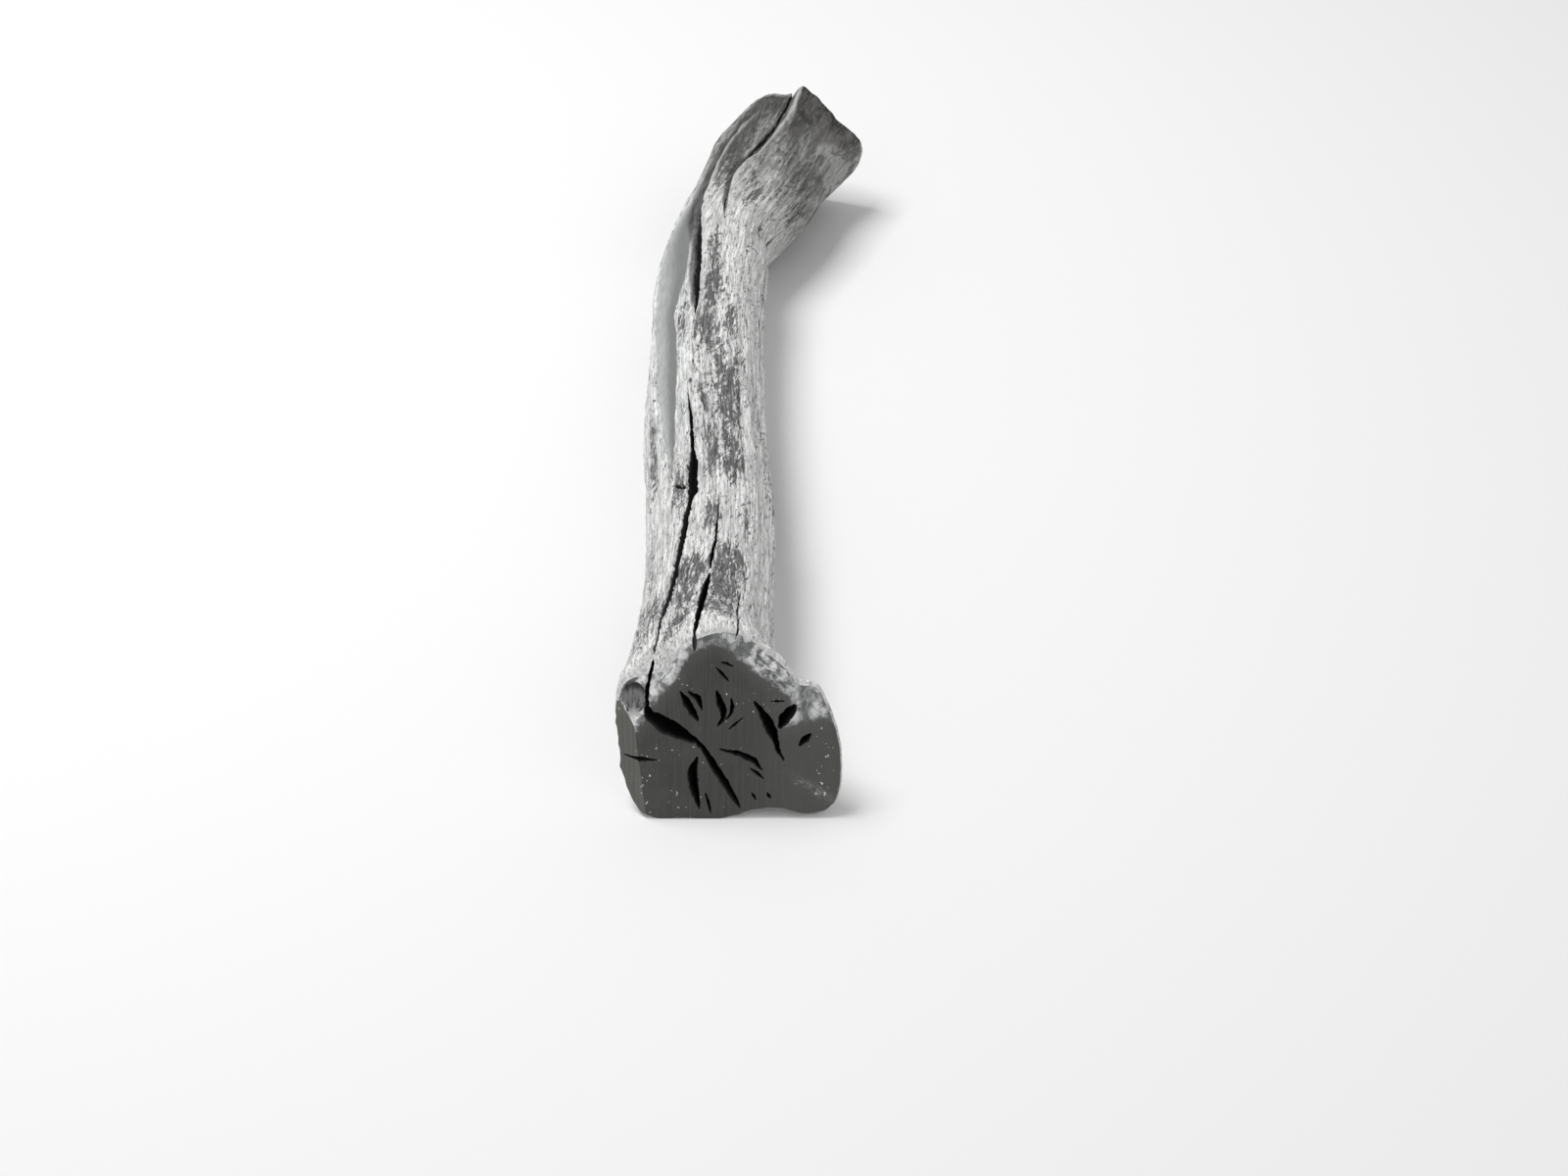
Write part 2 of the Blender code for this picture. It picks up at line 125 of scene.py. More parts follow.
# Drying cracks in the side, as (depth, path) with (along, around, width) rows. The first eight are in the
# photo's view, and the rest are on the sides that it hides.
SIDE_CRACKS = (
    (
        5.5,
        (
            (124, 107.2, 0.2), (117, 106, 0.5), (110, 105.5, 0.8), (97, 105.5, 1.1), (93.5, 105.5, 1.4),
            (91.5, 105, 2.2), (85.7, 105.8, 2.4), (78.5, 105.2, 2.4), (76.5, 107, 1.4), (65, 111.2, 1.7),
            (54, 115.3, 1.6), (42, 118.2, 1.4), (32, 121.5, 1.15), (19, 126, 1.3), (4, 134.5, 0.9),
        ),
    ),
    (4.5, ((76, 79, 0.15), (68, 79, 0.4), (60, 79.7, 0.6), (51, 82.7, 0.8), (45.5, 84, 0.4))),
    (
        4.5,
        (
            (43.5, 85, 0.4), (41, 85.5, 1.2), (37, 86.3, 1.6), (26, 88.7, 1.6), (12, 90.5, 1.5),
            (5, 92, 1.1), (-3, 95, 0.45),
        ),
    ),
    (2.5, ((40, 54, 0.2), (34, 56, 0.5), (12, 63, 0.6), (-3, 65, 0.5))),
    (
        4.0,
        (
            (238, 129, 0.3), (222, 121, 1.2), (208, 111.5, 1.6), (195, 106, 2.2), (183, 103.5, 2.3),
            (170, 101.5, 1.8), (159, 101.5, 0.3),
        ),
    ),
    (1.6, ((198, 50, 0.2), (199.3, 38, 0.6), (200.5, 27, 0.2))),
    (2.2, ((83.4, 123.5, 0.4), (82.6, 119.5, 1.5), (81.2, 114, 1.3), (80.4, 110, 0.4))),
    (
        2.2,
        (
            (209, 81, 0.2), (216, 87, 0.5), (222, 92, 0.5), (229, 101, 0.6), (235, 98, 0.8),
            (243, 91, 0.9), (254, 85, 1.0), (265, 82.5, 1.1), (278, 82, 1.4),
        ),
    ),
    (4.0, ((48, 352, 0.2), (80, 347, 1.0), (112, 344, 1.2), (146, 339, 0.2))),
    (3.0, ((150, 14, 0.2), (176, 10, 0.8), (204, 7, 0.9), (226, 3, 0.2))),
    (5.0, ((26, 258, 0.3), (60, 264, 1.5), (96, 269, 1.8), (128, 273, 1.1), (152, 275, 0.2))),
    (3.5, ((112, 207, 0.2), (142, 203, 1.0), (176, 199, 1.2), (210, 195, 0.2))),
    (3.0, ((12, 214, 0.9), (40, 209, 0.8), (78, 205, 0.2))),
    (3.5, ((178, 287, 0.2), (206, 292, 1.1), (232, 297, 0.2))),
)

# Drying cracks in the near saw cut, as (depth, path) with (x, height up the cut, width) rows.
NEAR_CRACKS = (
    (
        8.0,
        (
            (-17.0, 37.4, 0.8), (-17.8, 34.2, 0.8), (-18.5, 31.0, 0.8), (-18.6, 27.4, 1.0),
            (-18.0, 25.3, 2.2), (-16.4, 24.0, 2.8), (-14.2, 22.5, 3.4), (-11.8, 21.2, 3.0),
            (-9.5, 19.9, 2.0), (-7.2, 18.8, 1.0), (-5.9, 17.3, 0.8), (-3.6, 13.2, 1.5), (-1.3, 9.6, 1.4),
            (0.4, 6.5, 1.2), (1.9, 3.8, 0.7), (2.6, 2.6, 0.2),
        ),
    ),
    (6.0, ((-7.2, 15.2, 0.3), (-8.4, 11.4, 1.9), (-7.9, 7.2, 1.7), (-6.8, 2.4, 0.3))),
    (4.0, ((-5.4, 6.4, 0.2), (-4.7, 3.8, 0.6), (-4.2, 1.4, 0.2))),
    (5.0, ((-2.1, 17.0, 0.3), (2.4, 15.9, 1.1), (5.8, 14.2, 1.1), (7.6, 11.9, 0.3))),
    (4.0, ((4.8, 12.4, 0.2), (6.4, 11.2, 0.8), (8.0, 9.8, 0.2))),
    (
        8.0,
        (
            (5.8, 28.6, 0.4), (7.0, 26.9, 1.0), (8.8, 23.8, 2.1), (10.0, 20.9, 1.9), (10.8, 18.6, 1.1),
            (11.3, 16.6, 0.8), (12.6, 14.2, 0.3),
        ),
    ),
    (5.5, ((-11.0, 31.0, 0.3), (-9.6, 28.6, 1.5), (-8.0, 25.7, 1.5), (-6.9, 23.7, 0.3))),
    (5.5, ((-9.2, 31.0, 0.3), (-7.0, 29.4, 1.2), (-6.0, 26.4, 0.3))),
    (5.5, ((-2.7, 31.2, 0.3), (-2.0, 28.8, 1.4), (-1.2, 26.3, 1.3), (-1.2, 24.6, 1.0), (-2.5, 22.6, 0.3))),
    (4.0, ((0.6, 29.4, 0.2), (0.9, 27.2, 0.9), (0.5, 25.6, 0.6), (-0.6, 24.1, 0.2))),
    (3.0, ((0.0, 21.8, 0.2), (1.6, 23.2, 0.5), (3.2, 24.6, 0.2))),
    (4.0, ((-2.8, 36.8, 0.2), (-1.4, 35.2, 0.8), (0.1, 33.4, 0.2))),
    (3.0, ((-1.7, 38.0, 0.2), (-0.3, 37.6, 0.6), (1.2, 37.0, 0.2))),
    (3.0, ((-24.8, 14.9, 0.6), (-20.4, 14.6, 0.9), (-16.4, 14.4, 0.2))),
    (2.0, ((5.2, 6.4, 0.2), (5.7, 5.5, 0.6), (6.2, 4.6, 0.2))),
    (2.0, ((8.7, 6.5, 0.2), (9.1, 5.7, 0.6), (9.5, 5.0, 0.2))),
    (3.0, ((9.6, 28.6, 0.2), (11.2, 28.7, 0.6), (12.8, 28.6, 0.2))),
    (9.0, ((11.6, 22.0, 0.6), (12.6, 24.2, 2.2), (14.2, 26.2, 2.0), (15.2, 27.8, 0.6))),
    (5.0, ((16.0, 17.8, 0.3), (17.4, 19.4, 1.5), (18.8, 20.8, 0.3))),
)

# Drying cracks in the far saw cut, spread from its pith: how many, their depth, and the range of widths.
FAR_CRACKS = 13
FAR_CRACK_DEPTH = 6.0
FAR_CRACK_WIDTHS = (0.5, 1.5)

# The shape of every crack: how far its cutter stands out of the surface and spreads there, how deep its mouth
# is, the width of its root as a share of its mouth, and how far its lips are torn. Then the steps along the
# cracks, and how much of a side crack's depth is left at the near rim, and where it is whole again.
CRACK_STAND_OUT = 1.5
CRACK_SPREAD = 1.6
CRACK_MOUTH = 0.25
CRACK_ROOT = 0.22
SIDE_TORN, NEAR_TORN, FAR_TORN = 0.20, 0.14, 0.10
SIDE_STEP, NEAR_STEP = 1.1, 0.8
NEAR_WIDER = 1.2
RIM_DEPTH, RIM_DEPTH_FADES = 0.22, 9

# Darker, flaked patches of the ash coat: (along, around, reach along, reach around, strength).
PATCHES = (
    (155, 90, 13, 10, 1.1), (161, 118, 10, 7, 0.8), (157, 60, 8, 7, 0.8), (138, 99, 6, 7, 0.7),
    (142, 75, 8, 9, 0.6), (136, 52, 13, 9, 0.8), (121, 66, 13, 14, 1.1), (120, 91, 8, 6, 0.8),
    (97, 86, 11, 8, 0.8), (95, 64, 14, 12, 1.0), (67, 86, 9, 9, 1.0), (71, 46, 8, 12, 0.8),
    (50, 63, 7, 14, 1.5), (48, 99, 6, 11, 0.8), (38, 106, 10, 11, 1.1), (33, 72, 13, 11, 1.1),
    (33, 130, 8, 10, 0.8), (12, 118, 6, 8, 0.7), (14, 72, 6, 10, 0.8), (21, 84, 8, 9, 0.9),
    (19, 106, 7, 8, 0.7), (26, 150, 15, 16, 0.45), (56, 158, 20, 12, 0.4), (107, 160, 22, 7, 0.8),
    (83, 120, 9, 8, 0.6), (176, 81, 9, 11, 0.9), (196, 87, 9, 9, 0.8), (268, 95, 7, 14, 1.3),
    (254, 112, 12, 9, 1.1), (240, 117, 8, 7, 0.9), (264, 118, 8, 8, 1.0), (222, 62, 5, 7, 0.7),
    (216, 30, 6, 9, 0.9), (259, 62, 9, 9, 1.2), (243, 52, 8, 10, 0.7), (242, 30, 9, 12, 0.8),
    (234, 8, 9, 14, 0.9), (230, 112, 9, 8, 0.9), (60, 240, 24, 30, 0.9), (120, 320, 26, 24, 0.9),
    (190, 250, 24, 30, 0.8), (250, 200, 20, 26, 0.8), (90, 10, 16, 12, 0.6), (150, 195, 22, 12, 0.8),
)

# The smooth strip where the outer wood came away, as (along, right edge, left edge) with its edges around the
# stick. Then how far its edges blend, and how far it fades at its two ends.
STRIP = (
    (80, 131.5, 132.5), (94, 129.7, 132.5), (104.5, 129, 137), (117, 126, 141.5), (136, 124, 149.5),
    (152, 127, 155), (165, 132, 160), (183, 118, 160), (194, 117, 161), (206, 118, 150), (216, 122, 138),
    (226, 127, 130),
)
STRIP_EDGE = 1.4
STRIP_STARTS, STRIP_ENDS = 1, 12

# Worn grooves, as (depth, painted shade, path), with (along, around, reach to the right, reach to the left)
# rows.
GROOVES = (
    (
        2.3,
        1.0,
        (
            (160, 101, 2, 3), (167, 101, 2.5, 8), (183, 102, 3, 12), (195, 105, 3, 12),
            (208, 112, 3.5, 14), (222, 121, 4, 13), (236, 130, 4, 12), (252, 122, 4, 11), (264, 112, 4, 8),
        ),
    ),
    (
        1.3,
        0.8,
        (
            (209, 80, 2, 3), (221, 91, 3, 5), (229, 101, 3, 6), (235, 98, 3, 6), (241, 89, 3, 6),
            (250, 84, 3, 6), (259, 80.5, 3, 7), (274, 80, 3, 8),
        ),
    ),
)

# The part of the near saw cut that is still flat, as (x, height up the cut). Outside it the rim is worn
# back: the shoulder at the upper left, the band down the upper right and the top of the right lobe. Then how
# round the wear is, how far back it goes at most, and how far along the stick it moves the side.
FLAT_CUT = (
    (-33.0, 20.0), (-24.0, 20.2), (-21.6, 20.6), (-19.6, 22.8), (-18.3, 25.0), (-17.3, 27.1),
    (-15.0, 29.7), (-12.9, 32.1), (-11.5, 33.6), (-10.6, 34.9), (-10.0, 37.0), (-8.3, 39.1), (-6.0, 41.0),
    (-3.1, 41.8), (-0.7, 40.8), (1.6, 39.0), (5.1, 36.1), (7.4, 34.0), (10.3, 32.0), (13.2, 29.8),
    (14.3, 27.9), (12.6, 22.1), (15.6, 22.7), (19.0, 23.5), (22.0, 23.8), (24.0, 23.6), (31.0, 26.0),
    (31.0, -9.0), (-33.0, -9.0),
)
WEAR_ROUND = 6.0
WEAR_LIMIT = 3.4
WEAR_FADES = 12

# The dense mesh: columns round the stick, the longest and shortest step between rings, how soon the steps
# grow, and the rings across each saw cut.
COLUMNS = 264
RING_STEP = 1.0
RIM_STEP = 0.22
STEP_GROWTH = 1.14
CAP_RINGS = 18

# The mean radius that stands in for the stick's own where noise has to run evenly along the grain.
MEAN_RADIUS = 15.0

# What sorts the faces after cutting: a face so far below the side is a crack's wall, and one so near a cut
# that looks out of it belongs to the cut.
WALL_BELOW = 0.32
CUT_REACH = 0.3
CUT_SURFACE = 0.22
FACES_OUT = 0.4

# The materials, in the order of their slots.
ASH, SAWN_NEAR, BEVEL, CRACK, SAWN_FAR, CHIP = range(6)

# The camera: where it stands in the finished frame, how far down it looks, its lens and its sensor's width.
CAMERA_PLACE = (0.00808, -0.74358, 0.5404)
CAMERA_DOWN = 38
LENS = 81
SENSOR = 36

# The studio: (name, place, size, power) of each light, the light all round, and the floor.
LIGHTS = (
    ("key", (-0.36, 0.14, 0.92), 0.45, 7.0),
    ("fill", (0.6, -0.5, 0.7), 0.8, 0.8),
)
WORLD_STRENGTH = 0.45
FLOOR_HALF = 12.0
FLOOR_COLOUR = (0.88, 0.88, 0.88, 1)

SEED = 5


def between(table, values, column=1):
    """A smooth value from a table of (along, value, ...), by a Catmull-Rom curve through its rows."""
    table = np.asarray(table, float)
    values = np.asarray(values, float)
    last = len(table) - 2
    row = np.clip(np.searchsorted(table[:, 0], values, side="right") - 1, 0, last)
    before, after = np.maximum(row - 1, 0), np.minimum(row + 2, len(table) - 1)
    x, y = table[:, 0], table[:, column]
    span = x[row + 1] - x[row]
    slope_low = (y[row + 1] - y[before]) / (x[row + 1] - x[before]) * span
    slope_high = (y[after] - y[row]) / (x[after] - x[row]) * span
    t = (values - x[row]) / span
    return (
        (2 * t**3 - 3 * t**2 + 1) * y[row]
        + (t**3 - 2 * t**2 + t) * slope_low
        + (3 * t**2 - 2 * t**3) * y[row + 1]
        + (t**3 - t**2) * slope_high
    )


def centre(along):
    along = np.asarray(along, float)
    return np.stack((between(CENTRE_LINE, along, 1), along, between(CENTRE_LINE, along, 2)), -1)


def section_axes(along):
    """The directions ahead, to the right and up, square to the centre line."""
    ahead = centre(along + 3) - centre(along - 3)
    ahead /= np.linalg.norm(ahead, axis=-1, keepdims=True)
    right = np.cross(ahead, (0.0, 0.0, 1.0))
    right /= np.linalg.norm(right, axis=-1, keepdims=True)
    return ahead, right, np.cross(right, ahead)


def turn_between(around, middle):
    return (around - middle + 180) % 360 - 180


def hump(distance):
    return np.exp(-distance * distance)


def fade(value, start, end):
    t = np.clip((value - start) / (end - start), 0, 1)
    return t * t * (3 - 2 * t)


def closed(table):
    before = [(row[0] - 360, *row[1:]) for row in table[-2:]]
    after = [(row[0] + 360, *row[1:]) for row in table[:2]]
    return (*before, *table, *after)


NEAR_OUTLINE = closed(NEAR_END)
FAR_OUTLINE = closed(FAR_END)


class Noise:
    """Seeded gradient noise in three dimensions, from about -1 to 1."""

    def __init__(self, seed):
        numbers = np.random.default_rng(seed)
        self.order = np.tile(numbers.permutation(256), 3)
        directions = numbers.normal(size=(256, 3))
        self.directions = directions / np.linalg.norm(directions, axis=1, keepdims=True)

    def __call__(self, points):
        cell = np.floor(points).astype(int)
        inside = points - cell
        cell &= 255
        smooth = inside**3 * (inside * (inside * 6 - 15) + 10)
        total = np.zeros(points.shape[:-1])
        for corner in np.ndindex(2, 2, 2):
            x, y, z = (cell[..., i] + corner[i] for i in range(3))
            direction = self.directions[self.order[self.order[self.order[x] + y] + z]]
            share = np.prod(np.where(np.array(corner) == 1, smooth, 1 - smooth), axis=-1)
            total += share * ((inside - corner) * direction).sum(-1)
        return total * 1.6


NOISES = [Noise(SEED + i) for i in range(6)]


def noise(grain, across, along, which=0, octaves=1):
    """Noise with so many waves a millimetre across the grain and along it."""
    points = grain * (across, across, along)
    total, size = 0, 1
    for octave in range(octaves):
        total = total + size * NOISES[(which + octave) % len(NOISES)](points * 2**octave + 17.3 * octave)
        size *= 0.5
    return total


def grain_of(along, around, radius):
    angle = np.radians(around)
    return np.stack((radius * np.cos(angle), radius * np.sin(angle), along + 0 * angle), -1)


def flute_share(along, around, path):
    first, last = path[0][0], path[-1][0]
    there = fade(along, first - 4, first + FLUTE_FADES)
    if last < LENGTH:
        there = there * (1 - fade(along, last - FLUTE_FADES, last + 4))
    place = np.clip(along, first, last)
    turn = turn_between(around, between(path, place, 1))
    return there, turn / between(path, place, 2)


def form_radius(along, around):
    """The part's own radius, from the centre line to its smooth surface."""
    size = between(CENTRE_LINE, along, 3)
    size = size * (1 + 0.035 * np.cos(np.radians(2 * around - 50 + 0.35 * along)))
    size = size * (1 + 0.025 * np.cos(np.radians(3 * around + 80 - 0.5 * along)))
    for at, middle, height, reach_along, reach_around in SWELLINGS:
        turn = turn_between(around, middle)
        size = size + height * hump((along - at) / reach_along) * hump(turn / reach_around)
    for count, height, phase, twist in RIBS:
        size = size + height * np.cos(np.radians(count * around + phase + count * twist * along / LENGTH))
    for outline, inside in ((NEAR_OUTLINE, along), (FAR_OUTLINE, LENGTH - along)):
        turns = around % 360
        share = hump(np.maximum(inside, 0) / between(outline, turns, 2))
        size = size + (between(outline, turns, 1) - size) * share
    for depth, path in FLUTES:
        there, turn = flute_share(along, around, path)
        size = size - depth * there * hump(turn)
    return size


def rim_round(around):
    turn = turn_between(around, WORN_RIM_AROUND)
    return RIM_ROUND + (WORN_RIM_ROUND - RIM_ROUND) * hump(turn / WORN_RIM_REACH)


def rounded_off(along, around):
    """How much of the radius the worn rims of the two saw cuts take away."""
    rim = np.where(along < LENGTH / 2, rim_round(around), RIM_ROUND)
    inside = np.maximum(np.minimum(along, LENGTH - along), 0)
    left = np.maximum(rim - inside, 0)
    return rim - np.sqrt(rim**2 - left**2)


def strip_place(along, around):
    """How far across the smooth strip a place is (0 at its right edge), where it runs, and its width."""
    first, last = STRIP[0][0], STRIP[-1][0]
    place = np.clip(along, first, last)
    right, left = between(STRIP, place, 1), between(STRIP, place, 2)
    across = turn_between(around, right) / (left - right)
    runs = fade(along, first - STRIP_STARTS, first + STRIP_STARTS)
    runs = runs * (1 - fade(along, last - STRIP_ENDS, last))
    return across, runs, left - right


def strip_mask(along, around):
    """1 on the smooth strip where the outer wood came away, and 0 off it."""
    across, runs, width = strip_place(along, around)
    edge = STRIP_EDGE / width
    wander = noise(grain_of(along, around, MEAN_RADIUS), 0.35, 0.16, 3, 2) * 0.7 * edge
    inside = np.minimum(across, 1 - across) + wander
    return runs * fade(inside, -0.5 * edge, 0.5 * edge)


def groove_shape(along, around):
    """How deep the worn grooves go, their painted shade and the painted highlight on their right lip."""
    deep, dark, pale = np.zeros_like(around), np.zeros_like(around), np.zeros_like(around)
    wander = noise(grain_of(along, around, MEAN_RADIUS), 0.22, 0.10, 4, 2)
    for depth, char, path in GROOVES:
        first, last = path[0][0], path[-1][0]
        runs = fade(along, first - 2, first + 8)
        if last < LENGTH - 6:
            runs = runs * (1 - fade(along, last - 14, last))
        place = np.clip(along, first, last)
        turn = turn_between(around, between(path, place, 1)) + 1.2 * wander
        reach = np.where(turn < 0, between(path, place, 2), between(path, place, 3))
        valley = runs * np.maximum(0, 1 - np.abs(turn) / reach) ** 1.4
        ridge = runs * hump((turn + 9) / 4.5)
        deep = np.maximum(deep, depth * valley) - 0.45 * ridge
        # The dark in the grooves is painted shade in their hollows.
        dark = np.maximum(dark, char * runs * fade(1.15 - np.abs(turn) / reach, 0, 0.5))
        # A painted highlight along the lip to the right of each groove.
        pale = np.maximum(pale, runs * hump((turn + between(path, place, 2) + 2.5) / 2.2))
    return deep, dark, pale


def patch_mask(along, around):
    """How much of the ash coat has flaked off, from 0 to about 1."""
    grain = grain_of(along, around, MEAN_RADIUS)
    total = 0.34 * noise(grain, 0.05, 0.028, 2, 2) + 0.08
    for at, middle, reach_along, reach_around, strength in PATCHES:
        near = hump((along - at) / reach_along) * hump(turn_between(around, middle) / reach_around)
        total = np.maximum(total, 0) + strength * near
    return np.clip(total, 0, 1.4)


def relief(along, around):
    """What the worn and flaked surface adds to the smooth form, in millimetres."""
    grain = grain_of(along, around, MEAN_RADIUS)
    coarse = 0.32 * noise(grain, 0.07, 0.03, 0, 2)
    ridges = 0.42 * (0.5 - np.abs(noise(grain, 0.34, 0.022, 1)) * 1.6)
    fibres = 0.26 * noise(grain, 0.95, 0.07, 2, 2)
    pitted = 0.13 * noise(grain, 0.6, 0.34, 4, 2)
    flakes = fade(noise(grain, 0.5, 0.2, 5, 2), 0.02, 0.22) * np.clip(patch_mask(along, around), 0, 1)
    smooth = strip_mask(along, around)
    deep, _, _ = groove_shape(along, around)
    worn = hump(np.minimum(along, LENGTH - along) / 4)
    rough = (ridges + fibres + pitted - 0.22 * flakes) * (1 - 0.93 * smooth) * (1 - 0.65 * worn)
    return coarse * (1 - 0.5 * smooth) + rough - 0.25 * smooth - deep


def break_limit(along, around, away):
    """The radius where the break at the far end cuts the side off, and a large one elsewhere."""
    point, normal, reach = FAR_BREAK
    normal = np.array(normal) / np.linalg.norm(normal)
    point = np.array(point) - 0.7 * normal
    facing = away @ normal
    wander = 0.9 * noise(grain_of(along, around, MEAN_RADIUS), 0.13, 0.11, 3, 3)
    limit = ((point - centre(along)) @ normal + wander) / np.maximum(facing, 0.05)
    return np.where((facing > 0.1) & (along > LENGTH - reach), limit, 1e3)


def beyond_flat(x, height):
    """How far outside the flat part of the near saw cut a point is, and less than 0 within it."""
    points = np.stack((x, height), -1)[..., None, :]
    start = np.array(FLAT_CUT)
    end = np.roll(start, -1, axis=0)
    edge = end - start
    share = np.clip(((points - start) * edge).sum(-1) / (edge * edge).sum(-1), 0, 1)
    gap = np.linalg.norm(points - start - share[..., None] * edge, axis=-1).min(-1)
    low, high = start[:, 1] > points[..., 1], end[:, 1] > points[..., 1]
    rise = np.where(edge[:, 1] == 0, 1e-9, edge[:, 1])
    crossing = start[:, 0] + (points[..., 1] - start[:, 1]) / rise * edge[:, 0]
    inside = ((low != high) & (points[..., 0] < crossing)).sum(-1) % 2 == 1
    return np.where(inside, -gap, gap)


def wear(x, z):
    """How far back the worn rim of the near saw cut lies."""
    out = np.maximum(beyond_flat(x, z / math.cos(math.radians(SAW_TILT))), 0)
    back = out**2 / (2 * WEAR_ROUND)
    return WEAR_LIMIT * (1 - np.exp(-back / WEAR_LIMIT))


def set_back(points, along):
    """How far the near end's lean and its worn rim move points along the stick."""
    back = points[..., 2] * math.tan(math.radians(SAW_TILT)) * (1 - fade(along, 0, SAW_TILT_FADES))
    near = along < WEAR_FADES
    back[near] += wear(points[near, 0], points[near, 2]) * (1 - fade(along[near], 0, WEAR_FADES))
    return back


def surface(along, around, rough=True):
    """The points of the side, with the near end leant back to its saw cut, and the directions away."""
    _, right, up = section_axes(along)
    angle = np.radians(around)[..., None]
    away = np.cos(angle) * right + np.sin(angle) * up
    size = form_radius(along, around) - rounded_off(along, around)
    if rough:
        size = size + relief(along, around)
    size = np.minimum(size, break_limit(along, around, away))
    points = centre(along) + size[..., None] * away
    points[..., 1] += set_back(points, along)
    return points, away


def place_of(points):
    """Along, around and distance from the centre line for points in the working frame."""
    along = points[:, 1].copy()
    for _ in range(14):
        straight = points.copy()
        straight[:, 1] -= set_back(points, along)
        ahead, right, up = section_axes(along)
        error = ((straight - centre(along)) * ahead).sum(1)
        along = along + 0.8 * error
    offset = straight - centre(along)
    across, height = (offset * right).sum(1), (offset * up).sum(1)
    return along, np.degrees(np.arctan2(height, across)) % 360, np.hypot(across, height)


def ring_places():
    """Where the rings are: close together at both rims, and at even steps between."""
    ends, step = [0.0], RIM_STEP
    while step < RING_STEP:
        ends.append(ends[-1] + step)
        step *= STEP_GROWTH
    steps = round((LENGTH - 2 * ends[-1]) / RING_STEP)
    middle = np.linspace(ends[-1], LENGTH - ends[-1], steps + 1)[1:-1]
    return np.concatenate((ends, middle, LENGTH - np.array(ends[::-1])))


def mesh_object(name, points, faces, hidden=False):
    """An object in the finished frame from points in the working frame."""
    mesh = bpy.data.meshes.new(name)
    mesh.from_pydata(((np.asarray(points) - ORIGIN) * MM).tolist(), [], faces)
    made = bpy.data.objects.new(name, mesh)
    bpy.context.scene.collection.objects.link(made)
    made.hide_render = hidden
    return made


def tube_faces(rows, corners):
    """The faces between the rows of points of a tube."""
    faces = []
    for i in range(rows - 1):
        for j in range(corners):
            k = (j + 1) % corners
            faces.append((i * corners + j, i * corners + k, (i + 1) * corners + k, (i + 1) * corners + j))
    return faces


def cap_points(rim, middle):
    """Rings of points from just inside a rim to the pith, on the saw cut."""
    shares = (np.arange(1, CAP_RINGS) / CAP_RINGS)[:, None, None]
    return rim + (middle - rim) * shares


def rough_stick():
    rings = ring_places()
    along, around = np.meshgrid(rings, np.arange(COLUMNS) * 360 / COLUMNS, indexing="ij")
    points, _ = surface(along, around)
    pith = centre(np.array([0.0, LENGTH]))
    near_rim = points[0].copy()
    near_rim[:, 1] -= set_back(near_rim, np.zeros(COLUMNS))
    near = cap_points(near_rim, pith[0])[::-1]
    near[..., 1] += set_back(near, np.zeros(near.shape[:-1]))
    near[..., 1] -= 0.05 * NOISES[1](near * (0.5, 0.5, 0.12))
    far = cap_points(points[-1], pith[1])
    far[..., 1] += 0.06 * NOISES[2](far * 0.35)
    grid = np.concatenate((near, points, far))
    grid[..., 2] = np.maximum(grid[..., 2], 0)
    pith[0, 1] += pith[0, 2] * math.tan(math.radians(SAW_TILT))
    faces = tube_faces(len(grid), COLUMNS)
    last = (len(grid) - 1) * COLUMNS
    first_pith, last_pith = len(grid) * COLUMNS, len(grid) * COLUMNS + 1
    for j in range(COLUMNS):
        k = (j + 1) % COLUMNS
        faces.append((first_pith, k, j))
        faces.append((last_pith, last + j, last + k))
    stick = mesh_object("charcoal_stick_ash", np.concatenate((grid.reshape(-1, 3), pith)), faces)
    bm = bmesh.new()
    bm.from_mesh(stick.data)
    slice_bevel(bm)
    bmesh.ops.triangulate(bm, faces=[f for f in bm.faces if len(f.verts) > 4])
    bmesh.ops.recalc_face_normals(bm, faces=bm.faces)
    bm.to_mesh(stick.data)
    bm.free()
    return stick


def slice_bevel(bm):
    """Cuts the bevel down the left of the near saw cut."""
    point, normal, reach = NEAR_BEVEL
    point = Vector((np.array(point) - ORIGIN) * MM)
    verts = [v for v in bm.verts if (v.co - point).length < reach * MM]
    near = set(verts)
    edges = [e for e in bm.edges if near.issuperset(e.verts)]
    faces = [f for f in bm.faces if near.issuperset(f.verts)]
    cut = bmesh.ops.bisect_plane(
        bm,
        geom=[*verts, *edges, *faces],
        dist=1e-7,
        plane_co=point,
        plane_no=Vector(normal).normalized(),
        clear_outer=True,
    )
    edges = [e for e in cut["geom_cut"] if isinstance(e, bmesh.types.BMEdge)]
    bmesh.ops.holes_fill(bm, edges=edges)


def between_rows(rows, step):
    dense = [list(rows[0])]
    for low, high in zip(rows, rows[1:]):
        parts = max(1, math.ceil(math.dist(low[:2], high[:2]) / step))
        dense += [[a + (b - a) * i / parts for a, b in zip(low, high)] for i in range(1, parts + 1)]
    return np.array(dense)


